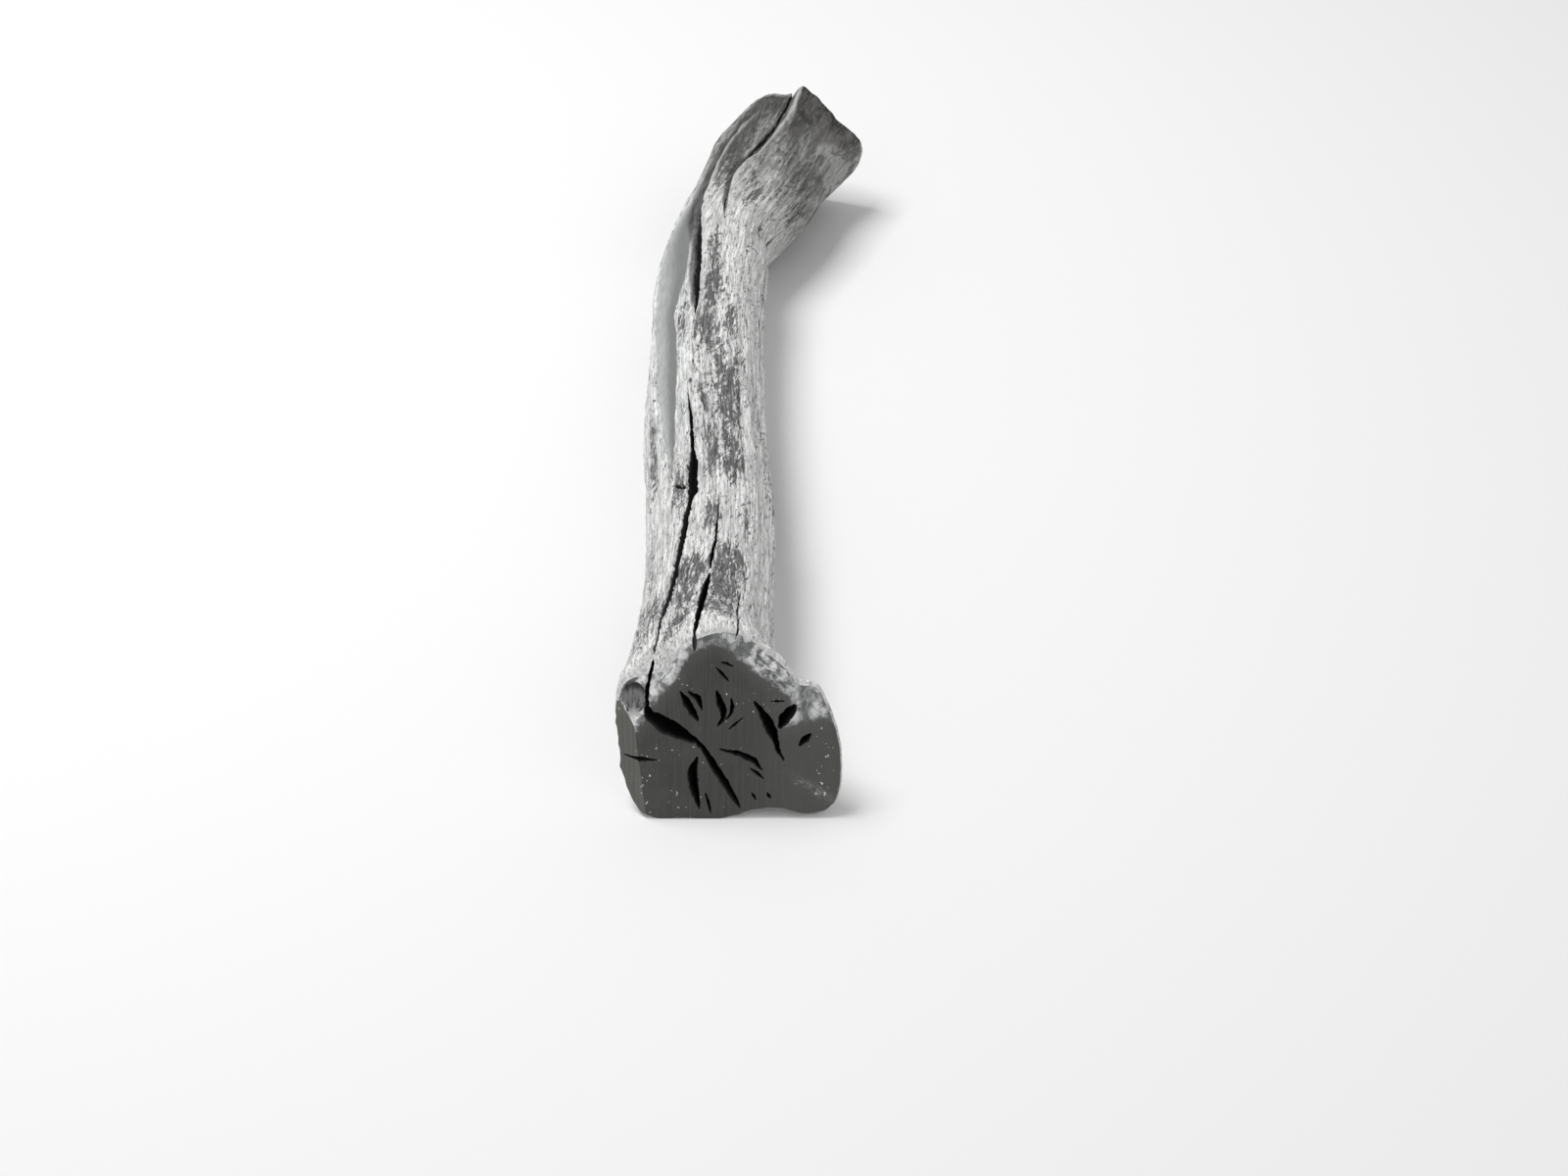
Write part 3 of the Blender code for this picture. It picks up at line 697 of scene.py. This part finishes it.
def wedge(places, away, widths, depth, numbers, jag):
    """The points and faces of a crack's cutter, with each lip torn by its own small steps."""
    count = len(places)
    tangent = np.gradient(places, axis=0)
    side = np.cross(tangent, away)
    side /= np.linalg.norm(side, axis=1, keepdims=True)
    half = 0.5 * widths[:, None]
    torn = np.minimum(widths, 1)[:, None] * jag
    left = half + torn * numbers.uniform(-1, 1, (count, 1))
    right = half + torn * numbers.uniform(-1, 1, (count, 1))
    sway = torn * 0.8 * numbers.uniform(-1, 1, (count, 1))
    ends = np.ones((count, 1))
    ends[[0, -1]] = 0.4
    deep = np.reshape(depth, (-1, 1)) * ends * numbers.uniform(0.85, 1.1, (count, 1))
    lip = places + away * CRACK_STAND_OUT
    mouth = places - away * CRACK_MOUTH
    root = places - away * deep + side * sway
    sections = np.stack(
        (
            lip - side * (left * CRACK_SPREAD + 0.1),
            lip + side * (right * CRACK_SPREAD + 0.1),
            mouth + side * right,
            root + side * half * CRACK_ROOT,
            root - side * half * CRACK_ROOT,
            mouth - side * left,
        ),
        1,
    )
    corners = sections.shape[1]
    faces = tube_faces(count, corners)
    faces.append(tuple(range(corners))[::-1])
    faces.append(tuple((count - 1) * corners + j for j in range(corners)))
    return sections.reshape(-1, 3), faces


def saw_cut_axes():
    lean = math.radians(SAW_TILT)
    return np.array((0, -math.cos(lean), math.sin(lean))), np.array((0, math.sin(lean), math.cos(lean)))


def side_wedge(depth, path, numbers):
    rows = between_rows(path, SIDE_STEP)
    drift = np.convolve(numbers.normal(0, 1, len(rows) + 6), np.ones(7) / 7, "valid") * 1.1
    around = rows[:, 1] + drift * np.minimum(rows[:, 2], 1)
    places, away = surface(rows[:, 0], around, rough=False)
    depths = depth * (RIM_DEPTH + (1 - RIM_DEPTH) * fade(rows[:, 0], 0, RIM_DEPTH_FADES))
    return wedge(places, away, rows[:, 2], depths, numbers, SIDE_TORN)


def near_wedge(depth, path, numbers):
    rows = between_rows(path, NEAR_STEP)
    away, up_cut = saw_cut_axes()
    places = rows[:, :1] * (1.0, 0, 0) + rows[:, 1:2] * up_cut
    depths = depth + wear(places[:, 0], places[:, 2])
    return wedge(places, np.tile(away, (len(rows), 1)), rows[:, 2] * NEAR_WIDER, depths, numbers, NEAR_TORN)


def far_wedge(around, numbers):
    ahead, right, up = (axis[0] for axis in section_axes(np.array([LENGTH])))
    angle = math.radians(around)
    direction = math.cos(angle) * right + math.sin(angle) * up
    edge = float(form_radius(np.array([LENGTH]), np.array([around]))[0])
    first = numbers.uniform(3.0, 6.0)
    last = numbers.uniform(0.5, 0.84) * min(edge, 16)
    width = numbers.uniform(*FAR_CRACK_WIDTHS)
    share = np.linspace(0, 1, 9)
    bend = np.cross(direction, ahead) * numbers.uniform(-0.8, 0.8)
    places = centre(LENGTH) + direction * (first + (last - first) * share)[:, None]
    places = places + bend * np.sin(share * math.pi)[:, None]
    widths = width * np.interp(share, (0, 0.3, 0.65, 1), (0.3, 1, 0.8, 0.2))
    return wedge(places, np.tile(ahead, (9, 1)), widths, FAR_CRACK_DEPTH, numbers, FAR_TORN)


def chip_middle():
    away, up_cut = saw_cut_axes()
    x, height, inwards = CHIP_MIDDLE
    return np.array((x, 0, 0)) + height * up_cut - inwards * away


def chip_shape():
    """A torn scoop where the chip came out of the near rim."""
    bm = bmesh.new()
    bmesh.ops.create_icosphere(bm, subdivisions=4, radius=1)
    ball = np.array([v.co[:] for v in bm.verts])
    faces = [tuple(v.index for v in f.verts) for f in bm.faces]
    bm.free()
    ball = ball * (1 + 0.10 * NOISES[2](ball * 2.3 + 5))[:, None]
    away, up_cut = saw_cut_axes()
    points = chip_middle() + ball[:, :1] * CHIP_SIZE[0] * np.array((1.0, 0, 0))
    points = points + ball[:, 1:2] * CHIP_SIZE[2] * away + ball[:, 2:] * CHIP_SIZE[1] * up_cut
    return points, faces


def cut_away(stick, name, shapes):
    """Takes closed shapes out of the stick one after another."""
    for i, (points, faces) in enumerate(shapes):
        cutter = mesh_object(f"{name}_{i}", points, faces, hidden=True)
        bm = bmesh.new()
        bm.from_mesh(cutter.data)
        bmesh.ops.recalc_face_normals(bm, faces=bm.faces)
        bmesh.ops.triangulate(bm, faces=bm.faces)
        bm.to_mesh(cutter.data)
        bm.free()
        cut = stick.modifiers.new(name, "BOOLEAN")
        cut.operation = "DIFFERENCE"
        cut.solver = "MANIFOLD"
        cut.object = cutter
        apply_modifiers(stick)
        bpy.data.objects.remove(cutter)


def apply_modifiers(made):
    graph = bpy.context.evaluated_depsgraph_get()
    mesh = bpy.data.meshes.new_from_object(made.evaluated_get(graph))
    old = made.data
    made.modifiers.clear()
    made.data = mesh
    bpy.data.meshes.remove(old)


def add_attribute(mesh, name, values):
    kind = "FLOAT_VECTOR" if values.ndim == 2 else "FLOAT"
    attribute = mesh.attributes.new(name, kind, "POINT")
    attribute.data.foreach_set("vector" if values.ndim == 2 else "value", values.astype(np.float32).ravel())


def polygon_values(mesh, name, width):
    values = np.empty(len(mesh.polygons) * width)
    mesh.polygons.foreach_get(name, values)
    return values.reshape(-1, width)


def depth_of(points):
    """Where points are on the stick, and how deep below its side and its two saw cuts."""
    along, around, size = place_of(points)
    side, _ = surface(along, around)
    side[:, 1] -= set_back(side, along)
    below = np.linalg.norm(side - centre(along), axis=1) - size
    return along, around, size, below


def add_masks(mesh):
    """Gives every point its place in the grain, how bare, flaked, worn or broken it is, and the grooves'
    painted shade.
    """
    points = np.empty(len(mesh.vertices) * 3)
    mesh.vertices.foreach_get("co", points)
    points = points.reshape(-1, 3) / MM + ORIGIN
    along, around, size, below = depth_of(points)
    inside = np.minimum(along, LENGTH - along)
    x, up_cut = points[:, 0], points[:, 2] / math.cos(math.radians(SAW_TILT))
    out = beyond_flat(x, up_cut)
    across, _, _ = strip_place(along, around)
    _, dark, pale = groove_shape(along, around)
    _, away = surface(along, around)
    limit = break_limit(along, around, away)
    right_side = fade(turn_between(around, 25), -60, -5) * (1 - fade(turn_between(around, 25), 5, 40))
    peak = hump((x + 2) / 6) * fade(points[:, 2], 34, 38)
    lobe = 0.75 * fade(x, 12, 17)
    along_band = 0.84 * x - 0.54 * up_cut
    off_smear = 0.55 * (x - 20) + 0.83 * (up_cut - 7)
    on_smear = 0.83 * (x - 20) - 0.55 * (up_cut - 7)
    beyond_break = fade(form_radius(along, around) - limit, -0.5, 0.5)
    masks = {
        "grain": grain_of(along, around, size),
        "slanted": grain_of(along, around + 1.9 * along, size),
        "rim_grain": np.stack((out, along_band, 0 * out), 1),
        "stripped": strip_mask(along, around),
        "strip_across": np.clip(across, -0.5, 1.5),
        "flaked": patch_mask(along, around) * (1 - 0.3 * right_side),
        "groove_shade": dark,
        "lip_highlight": pale,
        "depth": np.clip(np.minimum(below, inside), 0, 10),
        "beyond_flat": np.clip(out, -12, 12),
        "dusty": np.maximum(peak, lobe),
        "smeared": hump(off_smear / 0.9) * hump(on_smear / 4.5),
        "worn": 1 - np.clip(inside / 3.0, 0, 1),
        "broken": beyond_break * (along > LENGTH - 40),
    }
    for name, values in masks.items():
        add_attribute(mesh, name, values)


def sort_faces(mesh):
    """Finds which material each face has."""
    middles = polygon_values(mesh, "center", 3) / MM + ORIGIN
    normals = polygon_values(mesh, "normal", 3)
    along, _, _, below = depth_of(middles)
    away_near, up_cut = saw_cut_axes()
    ahead = section_axes(np.array([LENGTH]))[0][0]
    bevel_point, bevel_normal, _ = NEAR_BEVEL
    bevel_normal = np.array(bevel_normal) / np.linalg.norm(bevel_normal)
    bevel_gap = np.abs((middles - bevel_point) @ bevel_normal)
    on_bevel = (normals @ bevel_normal > 0.9995) & (bevel_gap < 0.05)
    near_cut = (along < CUT_REACH) & (normals @ away_near > FACES_OUT)
    far_cut = (LENGTH - along < CUT_REACH) & (normals @ ahead > FACES_OUT)
    walls = (below > WALL_BELOW) & ~near_cut & ~far_cut & ~on_bevel
    offset = middles - chip_middle()
    half = np.array(CHIP_SIZE)
    chip = np.stack((offset[:, 0] / half[0], offset @ up_cut / half[1], offset @ away_near / half[2]), 1)
    kinds = np.full(len(middles), ASH)
    kinds[near_cut & (along < CUT_SURFACE) & (below > 0.02)] = SAWN_NEAR
    kinds[on_bevel] = BEVEL
    kinds[walls] = CRACK
    kinds[walls & (np.linalg.norm(chip, axis=1) < 1.2)] = CHIP
    kinds[far_cut & (LENGTH - along < CUT_SURFACE) & (below > 0.02)] = SAWN_FAR
    return kinds


def finish_stick(stick):
    """Gives the cut mesh its masks, materials and smooth shading."""
    mesh = stick.data
    add_masks(mesh)
    kinds = sort_faces(mesh)
    materials = {
        ASH: ash_coat(),
        SAWN_NEAR: sawn_char("sawn_near", worn=True),
        # The bevel is the sawn charcoal painted 1.75 times lighter: painted light on the face that turns
        # towards the lamp.
        BEVEL: sawn_char("sawn_bevel_lit", 1.75),
        CRACK: crack_wall(),
        SAWN_FAR: sawn_char("sawn_far", 1.1),
        CHIP: torn_char(),
    }
    mesh.materials.clear()
    for kind in sorted(materials):
        mesh.materials.append(materials[kind])
    mesh.polygons.foreach_set("material_index", kinds)
    mesh.polygons.foreach_set("use_smooth", kinds != BEVEL)
    mesh.update()
    keep_lips_sharp(mesh)


def keep_lips_sharp(mesh):
    """Marks the edges between the cracks, the chip or the bevel and what is round them as sharp."""
    bm = bmesh.new()
    bm.from_mesh(mesh)
    for edge in bm.edges:
        kinds = {face.material_index for face in edge.link_faces}
        if len(kinds) > 1 and not kinds.issubset({ASH, SAWN_NEAR, SAWN_FAR}):
            edge.smooth = False
    bm.to_mesh(mesh)
    bm.free()


class Nodes:
    """Short ways to add shader nodes to a material."""

    def __init__(self, name):
        self.material = bpy.data.materials.new(name)
        self.material.use_nodes = True
        self.tree = self.material.node_tree
        self.shader = self.tree.nodes["Principled BSDF"]

    def put(self, node, inputs):
        for key, value in inputs.items():
            socket = node.inputs[key]
            if isinstance(value, bpy.types.NodeSocket):
                self.tree.links.new(value, socket)
            else:
                socket.default_value = value
        return node

    def attribute(self, name, output="Fac"):
        node = self.tree.nodes.new("ShaderNodeAttribute")
        node.attribute_name = name
        return node.outputs[output]

    def axis(self, vector, name):
        node = self.tree.nodes.new("ShaderNodeSeparateXYZ")
        return self.put(node, {"Vector": vector}).outputs[name]

    def noise(self, vector, scale, shift=(0, 0, 0), detail=3.0, roughness=0.55, distortion=0.0):
        mapping = self.tree.nodes.new("ShaderNodeMapping")
        self.put(mapping, {"Vector": vector, "Scale": scale, "Location": shift})
        node = self.tree.nodes.new("ShaderNodeTexNoise")
        self.put(
            node,
            {
                "Vector": mapping.outputs["Vector"],
                "Scale": 1.0,
                "Detail": detail,
                "Roughness": roughness,
                "Distortion": distortion,
            },
        )
        return node.outputs["Fac"]

    def ramp(self, value, low, high, to_low=0.0, to_high=1.0):
        node = self.tree.nodes.new("ShaderNodeMapRange")
        node.interpolation_type = "SMOOTHSTEP"
        self.put(
            node,
            {"Value": value, "From Min": low, "From Max": high, "To Min": to_low, "To Max": to_high},
        )
        return node.outputs["Result"]

    def math(self, operation, a, b=0.0):
        node = self.tree.nodes.new("ShaderNodeMath")
        node.operation = operation
        self.put(node, {0: a, 1: b})
        return node.outputs[0]

    def plus(self, a, b):
        return self.math("ADD", a, b)

    def minus(self, a, b):
        return self.math("SUBTRACT", a, b)

    def times(self, a, b):
        return self.math("MULTIPLY", a, b)

    def mix(self, share, a, b):
        node = self.tree.nodes.new("ShaderNodeMix")
        node.data_type = "RGBA"
        for index, value in ((0, share), (6, a), (7, b)):
            if isinstance(value, bpy.types.NodeSocket):
                self.tree.links.new(value, node.inputs[index])
            else:
                node.inputs[index].default_value = value
        return node.outputs[2]

    def bump(self, height, strength, distance):
        node = self.tree.nodes.new("ShaderNodeBump")
        self.put(node, {"Strength": strength, "Distance": distance, "Height": height})
        self.tree.links.new(node.outputs["Normal"], self.shader.inputs["Normal"])


def grey(value, cool=0.0):
    return (value * (0.988 - cool), value, value * (0.985 + cool), 1)


def warm(value):
    return (value * 1.01, value * 1.03, value * 0.93, 1)


def ash_coat():
    """Pale ash in fine streaks, flaked off in dark patches, with the strip, the grooves and the far break."""
    n = Nodes("ash_coat")
    grain = n.attribute("grain", "Vector")
    slanted = n.attribute("slanted", "Vector")
    along = n.axis(grain, "Z")
    groove_shade = n.attribute("groove_shade")
    stripped = n.attribute("stripped")

    streaks = n.noise(grain, (1.6, 1.6, 0.10), detail=7, roughness=0.66)
    fibres = n.noise(grain, (3.2, 3.2, 0.16), (3, 1, 8), detail=4, roughness=0.6)
    crust = n.noise(grain, (1.5, 1.5, 0.26), (5, 5, 1), detail=7, roughness=0.68)
    cloud = n.noise(grain, (0.13, 0.13, 0.06), (9, 4, 2), detail=4)
    grit = n.noise(grain, (3.2, 3.2, 1.3), (4, 8, 2), detail=3, roughness=0.6)
    light = n.mix(n.ramp(streaks, 0.42, 0.58), grey(0.49), grey(0.92))
    light = n.mix(n.ramp(crust, 0.50, 0.60, 0, 0.60), light, grey(0.97))
    light = n.mix(n.ramp(fibres, 0.34, 0.42, 0.66, 0), light, grey(0.20))
    light = n.mix(n.ramp(grit, 0.35, 0.44, 0.26, 0), light, grey(0.36))
    light = n.mix(n.ramp(cloud, 0.36, 0.52, 0.16, 0), light, grey(0.42))

    wanted = n.plus(n.attribute("flaked"), n.ramp(cloud, 0.3, 0.7, 0.30, -0.10))
    flecks = n.noise(grain, (1.0, 1.0, 0.14), (1, 7, 3), detail=9, roughness=0.72, distortion=0.12)
    over = n.minus(flecks, n.ramp(wanted, 0.05, 1.15, 0.645, 0.485))
    leaning = n.noise(slanted, (1.2, 1.2, 0.30), (2, 2, 5), detail=7, roughness=0.70)
    leaning = n.minus(leaning, n.ramp(wanted, 0.0, 1.0, 0.635, 0.545))
    dashes = n.noise(grain, (2.3, 2.3, 0.42), (6, 1, 9), detail=3, roughness=0.5)
    dashes = n.minus(dashes, n.ramp(wanted, 0.0, 1.0, 0.665, 0.580))
    bare = n.math("MAXIMUM", n.ramp(over, -0.006, 0.018), n.ramp(leaning, -0.006, 0.018))
    bare = n.math("MAXIMUM", bare, n.ramp(dashes, -0.01, 0.02))
    halo = n.ramp(over, -0.07, 0.02)
    char = n.mix(n.ramp(fibres, 0.40, 0.58), grey(0.035), grey(0.17))
    colour = n.mix(n.times(halo, 0.36), light, grey(0.24))
    colour = n.mix(n.times(bare, n.ramp(grit, 0.40, 0.62, 0.96, 0.80)), colour, char)
    hairs = n.noise(grain, (1.9, 1.9, 0.045), (8, 3, 6), detail=2, roughness=0.4)
    hairs = n.ramp(n.math("ABSOLUTE", n.minus(hairs, 0.5)), 0.004, 0.012, 1, 0)
    hairs = n.times(hairs, n.ramp(streaks, 0.44, 0.54, 0, 0.85))
    colour = n.mix(hairs, colour, grey(0.05))

    far = n.ramp(along, 212, 246)
    blotch = n.noise(grain, (0.24, 0.24, 0.13), (3, 9, 4), detail=5, roughness=0.55, distortion=0.6)
    dull = n.mix(n.ramp(blotch, 0.43, 0.57), (0.085, 0.082, 0.077, 1), (0.37, 0.363, 0.35, 1))
    dull = n.mix(n.ramp(streaks, 0.50, 0.62, 0, 0.4), dull, grey(0.50))
    dull = n.mix(n.ramp(crust, 0.36, 0.50, 0.45, 0), dull, grey(0.12))
    spotted = n.plus(n.attribute("flaked"), n.ramp(blotch, 0.36, 0.64, -0.45, 0.40))
    dull = n.mix(n.ramp(spotted, 0.35, 0.85, 0, 0.85), dull, (0.052, 0.050, 0.046, 1))
    colour = n.mix(n.times(far, 0.86), colour, dull)
    across = n.attribute("strip_across")
    # The strip is painted darker towards its right edge, as painted shade in its hollow, and lighter towards
    # its left edge, as a painted highlight.
    strip_tone_and_shade = n.mix(n.ramp(across, 0.25, 0.95), grey(0.22, 0.02), grey(0.47, 0.01))
    strip_tone_and_shade = n.mix(n.ramp(crust, 0.36, 0.60, 0.35, 0), strip_tone_and_shade, grey(0.17, 0.02))
    colour = n.mix(stripped, colour, strip_tone_and_shade)
    # Painted shade in the grooves' hollows: near-black, streaked along the grain.
    groove_shade_tone = n.mix(n.ramp(streaks, 0.42, 0.62), grey(0.035), grey(0.13))
    # The painted highlight on the grooves' right lips.
    colour = n.mix(n.times(n.attribute("lip_highlight"), 0.75), colour, grey(0.58))
    colour = n.mix(n.times(groove_shade, 0.88), colour, groove_shade_tone)
    worn_tone = n.mix(n.ramp(crust, 0.40, 0.60), grey(0.50), grey(0.78))
    colour = n.mix(n.ramp(n.attribute("worn"), 0.0, 0.9, 0, 0.65), colour, worn_tone)
    broken_tone = n.mix(n.ramp(cloud, 0.40, 0.58), (0.045, 0.043, 0.040, 1), (0.15, 0.146, 0.14, 1))
    broken_tone = n.mix(n.ramp(crust, 0.50, 0.62, 0, 0.45), broken_tone, grey(0.24))
    colour = n.mix(n.attribute("broken"), colour, broken_tone)
    n.put(n.shader, {"Base Color": colour, "Roughness": 0.9, "Specular IOR Level": 0.25})

    height = n.plus(n.times(streaks, 0.6), n.times(fibres, 0.45))
    height = n.plus(height, n.times(crust, 0.9))
    height = n.minus(height, n.times(bare, 0.5))
    height = n.minus(height, n.times(hairs, 0.8))
    height = n.times(height, n.ramp(stripped, 0, 1, 1, 0.12))
    n.bump(height, 0.9, 0.00035)
    return n.material


def sawn_char(name, lighter=1.0, worn=False):
    """Bare charcoal where the saw went through: fine lines up the cut, dust and a few specks of painted
    glint.
    """
    n = Nodes(name)
    place = n.tree.nodes.new("ShaderNodeTexCoord").outputs["Object"]
    lines = n.noise(place, (2600, 60, 60), detail=3)
    wide = n.noise(place, (500, 30, 30), (4, 2, 1), detail=2)
    dust = n.noise(place, (1100, 1100, 1100), (2, 2, 2), detail=6, roughness=0.75)
    smudge = n.noise(place, (70, 90, 90), (7, 1, 3), detail=4)
    specks = n.noise(place, (1300, 1300, 1300), (1, 6, 4), detail=0)
    colour = n.mix(n.ramp(lines, 0.38, 0.62), warm(0.053 * lighter), warm(0.070 * lighter))
    colour = n.mix(n.ramp(wide, 0.45, 0.65, 0, 0.3), colour, warm(0.076 * lighter))
    colour = n.mix(n.ramp(n.axis(place, "X"), -0.004, 0.012, 0, 0.6), colour, warm(0.100 * lighter))
    colour = n.mix(n.ramp(smudge, 0.48, 0.72, 0, 0.5), colour, warm(0.095 * lighter))
    colour = n.mix(n.ramp(dust, 0.58, 0.72, 0, 0.5), colour, warm(0.13))
    # A few specks painted near-white: painted glints on the charcoal.
    painted_glints = n.times(n.ramp(specks, 0.775, 0.795), n.ramp(smudge, 0.5, 0.56))
    colour = n.mix(painted_glints, colour, grey(0.6))
    height = n.plus(lines, n.times(dust, 0.6))
    rough = 0.62
    if worn:
        out = n.attribute("beyond_flat")
        grain = n.attribute("grain", "Vector")
        band = n.attribute("rim_grain", "Vector")
        crust = n.noise(grain, (0.8, 0.8, 0.8), (5, 5, 1), detail=5, roughness=0.6)
        swirl = n.noise(band, (0.62, 0.17, 1.0), (2, 5, 1), detail=6, roughness=0.62, distortion=0.5)
        soft = n.noise(band, (0.30, 0.12, 1.0), (7, 1, 1), detail=3)
        out = n.plus(out, n.times(n.minus(crust, 0.5), 2.6))
        ash = n.mix(n.ramp(crust, 0.38, 0.60), grey(0.46), grey(0.86))
        ash = n.mix(n.ramp(soft, 0.36, 0.56, 0.45, 0), ash, grey(0.30, 0.015))
        ash = n.mix(n.ramp(swirl, 0.52, 0.60, 0, 0.85), ash, grey(0.10, 0.02))
        ash = n.mix(n.times(n.attribute("dusty"), 0.80), ash, grey(0.17, 0.02))
        mottle = n.noise(grain, (0.36, 0.36, 0.36), (1, 9, 6), detail=4, roughness=0.55, distortion=0.4)
        ash = n.mix(n.ramp(mottle, 0.50, 0.57, 0, 0.68), ash, grey(0.08, 0.03))
        ash = n.mix(n.ramp(mottle, 0.36, 0.46, 0.60, 0), ash, grey(0.80, 0.01))
        smear = n.times(n.attribute("smeared"), n.ramp(dust, 0.40, 0.60))
        colour = n.mix(n.times(smear, 0.8), colour, grey(0.30))
        colour = n.mix(n.ramp(out, -3.5, 0.2, 0, 0.35), colour, grey(0.13))
        colour = n.mix(n.ramp(out, -0.2, 1.5), colour, ash)
        height = n.plus(height, crust)
        rough = n.ramp(out, -0.4, 2.6, 0.62, 0.9)
    n.put(n.shader, {"Base Color": colour, "Roughness": rough, "Specular IOR Level": 0.4})
    n.bump(height, 0.4, 0.0003)
    return n.material


def crack_wall():
    """The walls of the cracks: ash at the mouth, bare charcoal further in, and painted near-black shade
    deepest in.
    """
    n = Nodes("crack_wall")
    grain = n.attribute("grain", "Vector")
    layers = n.noise(grain, (1.2, 1.2, 0.3), detail=5, roughness=0.65)
    edge = n.plus(n.attribute("depth"), n.times(n.minus(layers, 0.5), 1.4))
    mouth = n.mix(n.ramp(n.attribute("worn"), 0, 0.4), grey(0.20), grey(0.055))
    colour = n.mix(n.ramp(edge, 0.1, 0.8), mouth, grey(0.04))
    # Deeper in, the wall is painted near-black: painted shade inside the crack.
    colour = n.mix(n.ramp(edge, 0.8, 2.4), colour, grey(0.012))
    n.put(n.shader, {"Base Color": colour, "Roughness": 0.9, "Specular IOR Level": 0.1})
    n.bump(layers, 0.7, 0.0006)
    return n.material


def torn_char():
    """The torn wood in the chip, streaked along the cut."""
    n = Nodes("torn_char")
    place = n.tree.nodes.new("ShaderNodeTexCoord").outputs["Object"]
    streaks = n.noise(place, (1500, 300, 220), detail=5, roughness=0.65)
    colour = n.mix(n.ramp(streaks, 0.42, 0.58), grey(0.06), grey(0.42))
    colour = n.mix(n.ramp(n.axis(place, "Z"), 0.0262, 0.0282, 0, 0.8), colour, grey(0.03))
    n.put(n.shader, {"Base Color": colour, "Roughness": 0.85, "Specular IOR Level": 0.25})
    n.bump(streaks, 0.8, 0.0005)
    return n.material


def floor_and_light():
    scene = bpy.context.scene
    mesh = bpy.data.meshes.new("floor")
    corners = [(x * FLOOR_HALF, y * FLOOR_HALF, 0) for x, y in ((-1, -1), (1, -1), (1, 1), (-1, 1))]
    mesh.from_pydata(corners, [], [(0, 1, 2, 3)])
    floor = bpy.data.objects.new("floor", mesh)
    scene.collection.objects.link(floor)
    material = bpy.data.materials.new("floor")
    material.use_nodes = True
    shader = material.node_tree.nodes["Principled BSDF"]
    shader.inputs["Base Color"].default_value = FLOOR_COLOUR
    shader.inputs["Roughness"].default_value = 0.9
    mesh.materials.append(material)

    world = bpy.data.worlds.new("studio")
    world.use_nodes = True
    world.node_tree.nodes["Background"].inputs["Color"].default_value = (1, 1, 1, 1)
    world.node_tree.nodes["Background"].inputs["Strength"].default_value = WORLD_STRENGTH
    scene.world = world
    for name, place, size, power in LIGHTS:
        lamp = bpy.data.lights.new(name, "AREA")
        lamp.size = size
        lamp.energy = power
        holder = bpy.data.objects.new(name, lamp)
        holder.location = place
        holder.rotation_euler = (-Vector(place)).to_track_quat("-Z", "Y").to_euler()
        scene.collection.objects.link(holder)
    scene.view_settings.view_transform = "Standard"


def camera():
    lens = bpy.data.cameras.new("camera")
    lens.lens = LENS
    lens.sensor_width = SENSOR
    lens.clip_end = 100
    holder = bpy.data.objects.new("camera", lens)
    holder.location = CAMERA_PLACE
    holder.rotation_euler = Euler((math.radians(90 - CAMERA_DOWN), 0, 0))
    bpy.context.scene.collection.objects.link(holder)
    bpy.context.scene.camera = holder


def main():
    stick = rough_stick()
    numbers = np.random.default_rng(SEED)
    cut_away(stick, "chip", [chip_shape()])
    cut_away(stick, "side_crack", [side_wedge(depth, path, numbers) for depth, path in SIDE_CRACKS])
    cut_away(stick, "near_crack", [near_wedge(depth, path, numbers) for depth, path in NEAR_CRACKS])
    turns = [360 * i / FAR_CRACKS + numbers.uniform(-8, 8) for i in range(FAR_CRACKS)]
    cut_away(stick, "far_crack", [far_wedge(turn, numbers) for turn in turns])
    finish_stick(stick)
    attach(stick, "root")
    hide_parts("charcoal_stick")
    floor_and_light()
    camera()


main()
